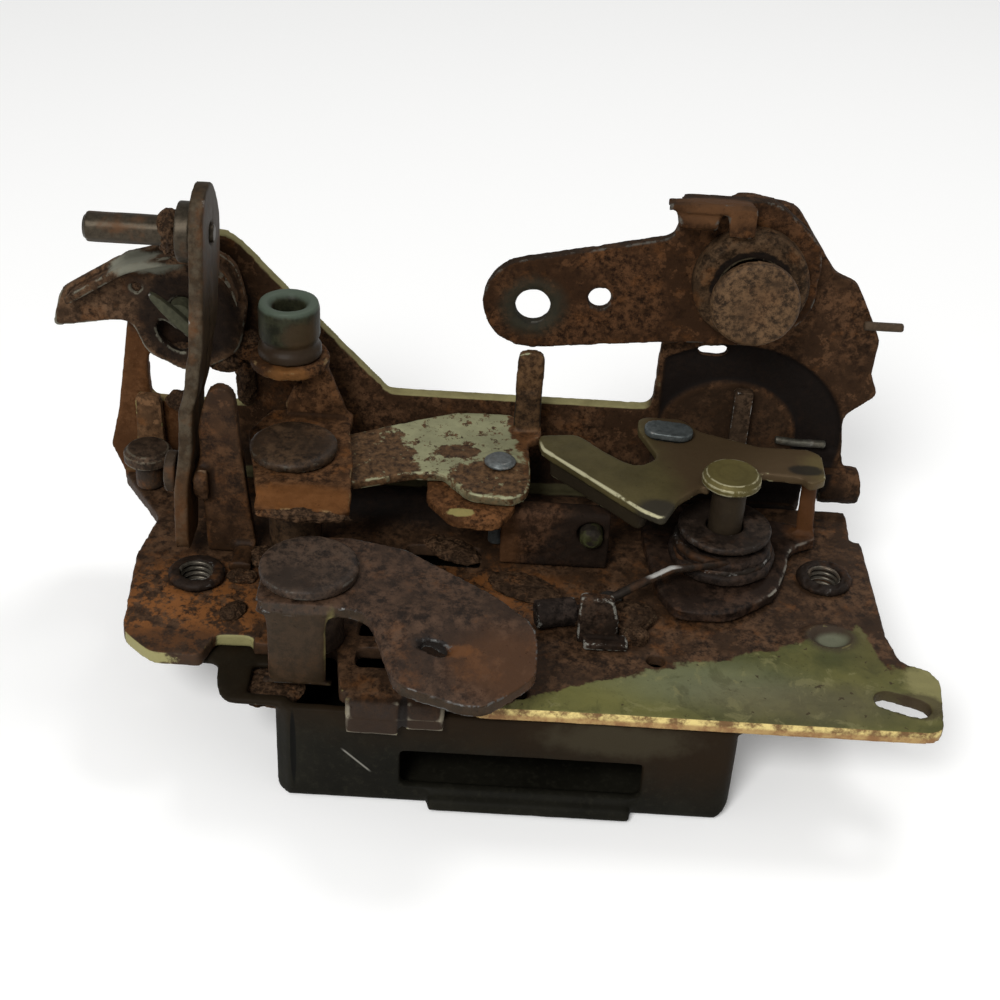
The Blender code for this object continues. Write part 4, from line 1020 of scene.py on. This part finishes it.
# For each node, how its finish is made and what from: a base colour and then that function's own settings
FINISHES = {
    "face_plate": (rusted, (0.052, 0.027, 0.0135), 1.5, 0.4, ZINC_YELLOW, 0.35, 1, face_plate_paint, 0.12),
    "back_plate": (rusted, (0.052, 0.026, 0.0125), 1.1, 0.3, (0.12, 0.09, 0.05), 0.35, 11, back_plate_paint),
    "housing": (coated, (0.0086, 0.008, 0.0054), 12, housing_paint),
    "release_lever": (rusted, (0.044, 0.0245, 0.0145), 1.7, 0.25, (0.1, 0.1, 0.095), 0.5, 13, release_paint,
                      0.16, 0.35),
    "crank_lever": (rusted, (0.062, 0.029, 0.0125), 1.4, 0.55, (0.2, 0.13, 0.06), 0.4, 14, crank_paint),
    "link_lever": (plated, (0.27, 0.265, 0.15), 15, 0.34, (0.06, 0.031, 0.014), link_paint, ZINC_PALE, 0.5),
    "link_lower_plate": (rusted, (0.088, 0.038, 0.0145), 1.2, 0.6, (0.13, 0.07, 0.03), 0.3, 16,
                         lower_plate_paint),
    "fork_plate": (plated, (0.088, 0.071, 0.028), 17, 0.12, (0.05, 0.032, 0.017), fork_paint,
                   (0.33, 0.3, 0.17), 0.3),
    "cam_lever": (rusted, (0.026, 0.0145, 0.009), 1.6, 0.2, (0.2, 0.18, 0.13), 0.2, 18, cam_paint, 0.12),
    "key_lever": (rusted, (0.046, 0.021, 0.009), 1, 0.28, (0.1, 0.095, 0.08), 0.5, 19, key_lever_paint),
    "key_collar": (rusted, (0.05, 0.029, 0.015), 1.4, 0.3, (0.16, 0.13, 0.08), 0.6, 20, key_collar_paint),
    "key_pivot": (rusted, (0.074, 0.042, 0.0205), 0.9, 0.1, (0.13, 0.09, 0.055), 0.4, 60, None, 0.1, 0.1),
    "remote_lever": (worn_steel, (0.034, 0.0215, 0.011), 61, 0.5, 0.42, 0.15, remote_paint),
    "rod_pin": (worn_steel, (0.05, 0.04, 0.028), 62, 0.45, 0.3, 0.7),
    "beak_lever": (rusted, (0.062, 0.035, 0.019), 1.3, 0.3, (0.17, 0.16, 0.12), 0.6, 63, beak_paint),
    "remote_bracket": (rusted, (0.044, 0.021, 0.009), 2, 0.3, (0.11, 0.07, 0.04), 0.3, 64, None, 0.12),
    "stop_block": (rusted, (0.042, 0.021, 0.011), 1.2, 0.35, (0.12, 0.08, 0.05), 0.2, 65, block_paint),
    "stop_pin": (plated, (0.034, 0.033, 0.013), 66, 0.52, (0.016, 0.012, 0.008), None, (0.055, 0.06, 0.022),
                 0.4),
    "release_pivot": (rusted, tone(DARK_CAP, 0.86), 1.3, 0.05, (0.1, 0.09, 0.075), 0.5, 67, None, 0.2, 0.2),
    "crank_pivot": (rusted, (0.035, 0.0195, 0.0095), 1.3, 0.08, (0.09, 0.08, 0.06), 0.45, 68, None, 0.2,
                    0.3),
    "link_pivot": (worn_steel, (0.125, 0.137, 0.135), 69, 0.1, 0.34, 0.55),
    "fork_rivet": (worn_steel, (0.105, 0.118, 0.116), 70, 0.1, 0.3, 0.55),
    "spring_pin": (plated, (0.108, 0.088, 0.03), 71, 0.06, (0.055, 0.032, 0.018), pin_paint,
                   (0.34, 0.31, 0.19), 0.7),
    "spring_washer": (rusted, (0.025, 0.0165, 0.0115), 1.8, 0.1, (0.1, 0.09, 0.08), 0.3, 72, None, 0.15),
    "torsion_spring": (worn_steel, (0.022, 0.0165, 0.0125), 73, 0.4, 0.36, 0.35, spring_paint),
    "spring_anchor": (rusted, (0.024, 0.015, 0.01), 1.2, 0.2, (0.3, 0.29, 0.25), 0.5, 74),
    "spring_sleeve": (rusted, (0.02, 0.014, 0.011), 1.2, 0.15, (0.26, 0.25, 0.22), 0.4, 75),
    "rod_bushing": (plastic, (0.019, 0.0195, 0.01), 76, bushing_paint),
    "ear_stud": (rusted, (0.045, 0.028, 0.017), 1.6, 0.4, (0.12, 0.1, 0.07), 0.5, 77, None, 0.1),
    "ear_tab": (rusted, (0.105, 0.055, 0.026), 1.4, 0.5, ZINC_YELLOW, 0.4, 78),
    "beak_pivot": (worn_steel, (0.05, 0.05, 0.03), 79, 0.35, 0.5, 0.1),
    "remote_pivot": (worn_steel, (0.05, 0.034, 0.022), 80, 0.5, 0.45, 0.4),
    "side_pin": (worn_steel, (0.06, 0.04, 0.024), 81, 0.5, 0.45, 0.2),
    "lock_bar": (rusted, (0.052, 0.032, 0.019), 1.2, 0.2, BRIGHT_STEEL, 0.5, 82, None, 0, 0.2),
    "clip_wire": (worn_steel, (0.1, 0.095, 0.075), 83, 0.3, 0.35, 0.8),
    "thread_collar_right": (worn_steel, (0.016, 0.0105, 0.0075), 84, 0.4, 0.4, 0.25),
    "thread_collar_left": (worn_steel, (0.017, 0.0105, 0.007), 85, 0.6, 0.45, 0.2),
    "claw": (worn_steel, (0.035, 0.034, 0.032), 86, 0.2, 0.35, 0.8),
    "pawl": (worn_steel, (0.035, 0.034, 0.032), 87, 0.2, 0.35, 0.8),
    "claw_pivot": (worn_steel, (0.05, 0.045, 0.04), 88, 0.3, 0.4, 0.7),
    "pawl_pivot": (worn_steel, (0.05, 0.045, 0.04), 89, 0.3, 0.4, 0.7),
    "claw_spring": (worn_steel, (0.05, 0.048, 0.044), 90, 0.2, 0.35, 0.8),
    "pawl_spring": (worn_steel, (0.05, 0.048, 0.044), 91, 0.2, 0.35, 0.8),
    "striker_buffer": (plastic, (0.012, 0.012, 0.012), 92),
}


def make_finishes():
    """One finish for each node, keyed by node name."""
    return {node: make(node + "_finish", *settings) for node, (make, *settings) in FINISHES.items()}


# How finely each node is remeshed, how much its edges are softened, and its rust's height and grain size

MESHING = {
    "face_plate": (0.45, 3, 0.07, 1.4), "back_plate": (0.42, 3, 0.1, 1.2), "housing": (0.5, 3, 0.04, 2.5),
    "release_lever": (0.32, 5, 0.035, 2.2), "crank_lever": (0.33, 4, 0.1, 1.3),
    "link_lever": (0.32, 4, 0.06, 1.4), "link_lower_plate": (0.32, 4, 0.09, 1.3),
    "fork_plate": (0.3, 3, 0.03, 1.8), "cam_lever": (0.36, 4, 0.05, 1.6),
    "key_lever": (0.34, 5, 0.09, 1.1), "key_collar": (0.34, 3, 0.06, 1.3), "key_pivot": (0.34, 4, 0.04, 1.8),
    "remote_lever": (0.32, 6, 0.05, 1.6), "rod_pin": (0.24, 3, 0.02, 1.5),
    "beak_lever": (0.34, 4, 0.07, 1.3), "remote_bracket": (0.36, 5, 0.05, 1.8),
    "stop_block": (0.34, 4, 0.1, 1.3),
    "release_pivot": (0.3, 5, 0.03, 2.4), "crank_pivot": (0.3, 5, 0.03, 2.4),
    "rod_bushing": (0.26, 3, 0.03, 1.5), "spring_washer": (0.28, 3, 0.03, 1.6),
    "torsion_spring": (0.26, 4, 0.02, 1.2), "striker_buffer": (0.6, 3, 0.02, 2.0),
    "claw": (0.45, 3, 0.02, 2.0), "pawl": (0.4, 3, 0.02, 2.0),
    "thread_collar_right": (0.24, 3, 0.16, 0.9), "thread_collar_left": (0.24, 3, 0.16, 0.9),
    "spring_anchor": (0.24, 3, 0.09, 0.9), "spring_sleeve": (0.24, 3, 0.12, 1.0),
}
SMALL_PIECE = (0.24, 3, 0.03, 1.3)

# The thickness axis of each sheet whose corners are eased, and how many rounds of easing it gets
FAIRED = {
    "release_lever": (2, 160), "cam_lever": (2, 90), "link_lever": (2, 25), "link_lower_plate": (2, 25),
    "fork_plate": (2, 12), "key_lever": (1, 30), "back_plate": (1, 14), "beak_lever": (1, 40),
    "remote_lever": (0, 60), "remote_bracket": (1, 30), "face_plate": (2, 8), "crank_lever": (2, 10),
}


def add_piece(node, finish, seed):
    voxel, relax, depth, size = MESHING.get(node, SMALL_PIECE)
    piece = fine_copy(node, voxel, relax)
    mesh = piece.data
    if node in TURNED:
        write_points(mesh, make_round(read_points(mesh), *TURNED[node]))
    if node in PRESSED:
        write_points(mesh, PRESSED[node](read_points(mesh)))
    if node in FAIRED:
        fair_outline(mesh, *FAIRED[node])
    mark_wear(mesh)
    raise_rust(mesh, depth, size, depth * 1.2, seed, CRUSTS.get(node))
    mesh.transform(TO_WORLD)
    mesh.shade_smooth()
    mesh.materials.clear()
    mesh.materials.append(finish)
    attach(piece, BODY_OF[node])
    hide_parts(node)


def add_thread(name, centre, finish):
    """The screw thread inside a fixing hole, as a ridge wound up its bore."""
    pitch, ridge, sides = 1.0, 0.34, 28
    low, high = -2.2, COLLAR_TOP - 0.3
    reach = THREAD_BORE - 0.05
    count = int((high - low) / pitch * sides)
    curve = bpy.data.curves.new(name, "CURVE")
    curve.dimensions = "3D"
    curve.bevel_depth = ridge * MM
    curve.bevel_resolution = 2
    curve.use_fill_caps = True
    spline = curve.splines.new("POLY")
    spline.points.add(count)
    for step, point in enumerate(spline.points):
        angle = 2 * math.pi * step / sides
        x, y = centre.x + reach * math.cos(angle), centre.y + reach * math.sin(angle)
        point.co = (*(TO_WORLD @ Vector((x, y, low + pitch * step / sides))), 1.0)
    curve.materials.append(finish)
    piece = bpy.data.objects.new(name, curve)
    LATCH.objects.link(piece)
    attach(piece, "root")


def add_lump(name, mesh, body, finish):
    """Adds a piece that stands for no CAD node, from its mesh in latch millimetres."""
    mesh.transform(TO_WORLD)
    mesh.shade_smooth()
    mesh.materials.append(finish)
    piece = bpy.data.objects.new(name, mesh)
    LATCH.objects.link(piece)
    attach(piece, body)


def add_clump(name, centre, radii, body, finish, rough, seed, lean):
    """A lump of rust scale or dirt: a ball knocked out of shape by noise."""
    mesh = bpy.data.meshes.new(name)
    shape = bmesh.new()
    bmesh.ops.create_icosphere(shape, subdivisions=6, radius=1.0)
    shape.to_mesh(mesh)
    shape.free()
    points = read_points(mesh)
    swell = 1 + rough * 2 * (fractal(points * 4.0, 2.6, 4, seed) - 0.5)
    points = points * swell[:, None] * np.array(radii)
    turn = math.radians(lean)
    x, y = points[:, 0].copy(), points[:, 1].copy()
    points[:, 0] = x * math.cos(turn) - y * math.sin(turn)
    points[:, 1] = x * math.sin(turn) + y * math.cos(turn)
    write_points(mesh, points + np.array(centre))
    raise_rust(mesh, 0.22, 0.9, 0.3, seed)
    mark_wear(mesh)
    add_lump(name, mesh, body, finish)


def squared(share):
    """A cosine or sine pushed outwards, so that a ring's section has fuller corners than a circle."""
    return math.copysign(abs(share) ** 0.7, share)


def add_ring_crust(name, centre, rings, body, finish, seed):
    """A lumpy cake of rust turned about an upright axis, from (inner, outer, low, high) rings."""
    for index, (inner, outer, low, high) in enumerate(rings):
        mesh = bpy.data.meshes.new(name)
        shape = bmesh.new()
        around, across = 160, 36
        grid = []
        for step in range(around):
            angle = 2 * math.pi * step / around
            row = []
            for turn in range(across):
                bend = 2 * math.pi * turn / across
                reach = (inner + outer) / 2 + (outer - inner) / 2 * squared(math.cos(bend))
                height = (low + high) / 2 + (high - low) / 2 * squared(math.sin(bend))
                spot = (centre[0] + reach * math.cos(angle), centre[1] + reach * math.sin(angle), height)
                row.append(shape.verts.new(spot))
            grid.append(row)
        for step, turn in itertools.product(range(around), range(across)):
            after, beside = (step + 1) % around, (turn + 1) % across
            shape.faces.new((grid[step][turn], grid[after][turn], grid[after][beside], grid[step][beside]))
        bmesh.ops.recalc_face_normals(shape, faces=shape.faces)
        shape.to_mesh(mesh)
        shape.free()
        mark_wear(mesh)
        raise_rust(mesh, 0.30, 2.2, 0.25, seed + index)
        add_lump(f"{name}_{index + 1}", mesh, body, finish)


# Lumps of scale and dirt: centre, radii, body, and how far each is turned

CLUMPS = {
    "scale_by_anchor": ((26.8, -14.2, 0.9), (4.6, 3.4, 1.9), "root", 20),
    "scale_before_block": ((10, -7, 0.1), (6.5, 3.4, 1.1), "root", -28),
    "scale_on_foot": ((27.6, -18.8, 0.8), (2.4, 1.8, 1.7), "root", 0),
    "scale_on_sleeve": ((19.2, -16.4, 2.4), (2.2, 1.6, 1.6), "root", 10),
    "scale_behind_ridge": ((-2.4, 3.2, -0.1), (5.6, 3, 1.2), "root", -30),
    "scale_at_bracket": ((-33.4, -3.2, 0.6), (2.6, 2.4, 1.6), "root", 30),
    "scale_at_left_thread": ((-36, -8.6, 0.4), (2.4, 1.6, 1.2), "root", 0),
    "debris_on_back_1": ((-51.6, 23.2, 14.3), (2.4, 1, 2), "root", 0),
    "debris_on_back_2": ((-43.2, 23.4, 22.8), (3.4, 1.2, 2.4), "root", 0),
    "debris_on_back_3": ((-40, 23.4, 18.4), (1.8, 1.2, 4.2), "root", 0),
    "debris_on_back_4": ((-39.4, 23.6, 25.6), (2.6, 1, 3), "root", 0),
    "debris_on_back_5": ((-50.8, 24, 23.4), (4.6, 0.8, 1.8), "root", 0),
    "rust_on_shoulder": ((-48.4, 12, 51.2), (2.4, 3.6, 3.9), "remote_lever", 0),
    "dirt_on_flange": ((-28.8, -29.4, -4.9), (5.4, 4.9, 1), "root", 0),
    "scale_on_tab": ((-36, -17.5, 0.2), (2.6, 1.8, 1), "root", 60),
    "dirt_in_beak_hole": ((-57.4, 22.6, 36.4), (1.5, 0.5, 1.5), "beak_lever", 0),
    "crust_below_crank_lip": ((-25.6, -12.6, 15.9), (7.6, 1.2, 1.1), "crank_lever", 0),
}


def main():
    make_camera()
    make_floor()
    make_light()
    finishes = make_finishes()
    for index, node in enumerate(sorted(finishes)):
        add_piece(node, finishes[node], 100 + index)
    crust = rusted("rust_scale", (0.050, 0.028, 0.015), 1.0, 0.35, (0.10, 0.07, 0.04), 0.2, 96.0)
    for index, (name, (centre, radii, body, lean)) in enumerate(CLUMPS.items()):
        add_clump(name, centre, radii, body, crust, 0.26, 300 + index, lean)
    cake = rusted("spring_scale", (0.022, 0.014, 0.010), 1.6, 0.12, (0.14, 0.13, 0.11), 0.3, 97.0, None, 0.1)
    add_ring_crust("spring_scale", SPRING_AXIS, ((5.4, 8.0, 5.4, 7.7), (5.6, 8.8, 3.5, 5.6)), "root",
                   cake, 400)
    thread_finish = worn_steel("thread_steel", (0.105, 0.092, 0.072), 95.0, 0.4, 0.24, 0.75)
    add_thread("thread_right", Vector(RIGHT_THREAD), thread_finish)
    add_thread("thread_left", Vector(LEFT_THREAD), thread_finish)


main()
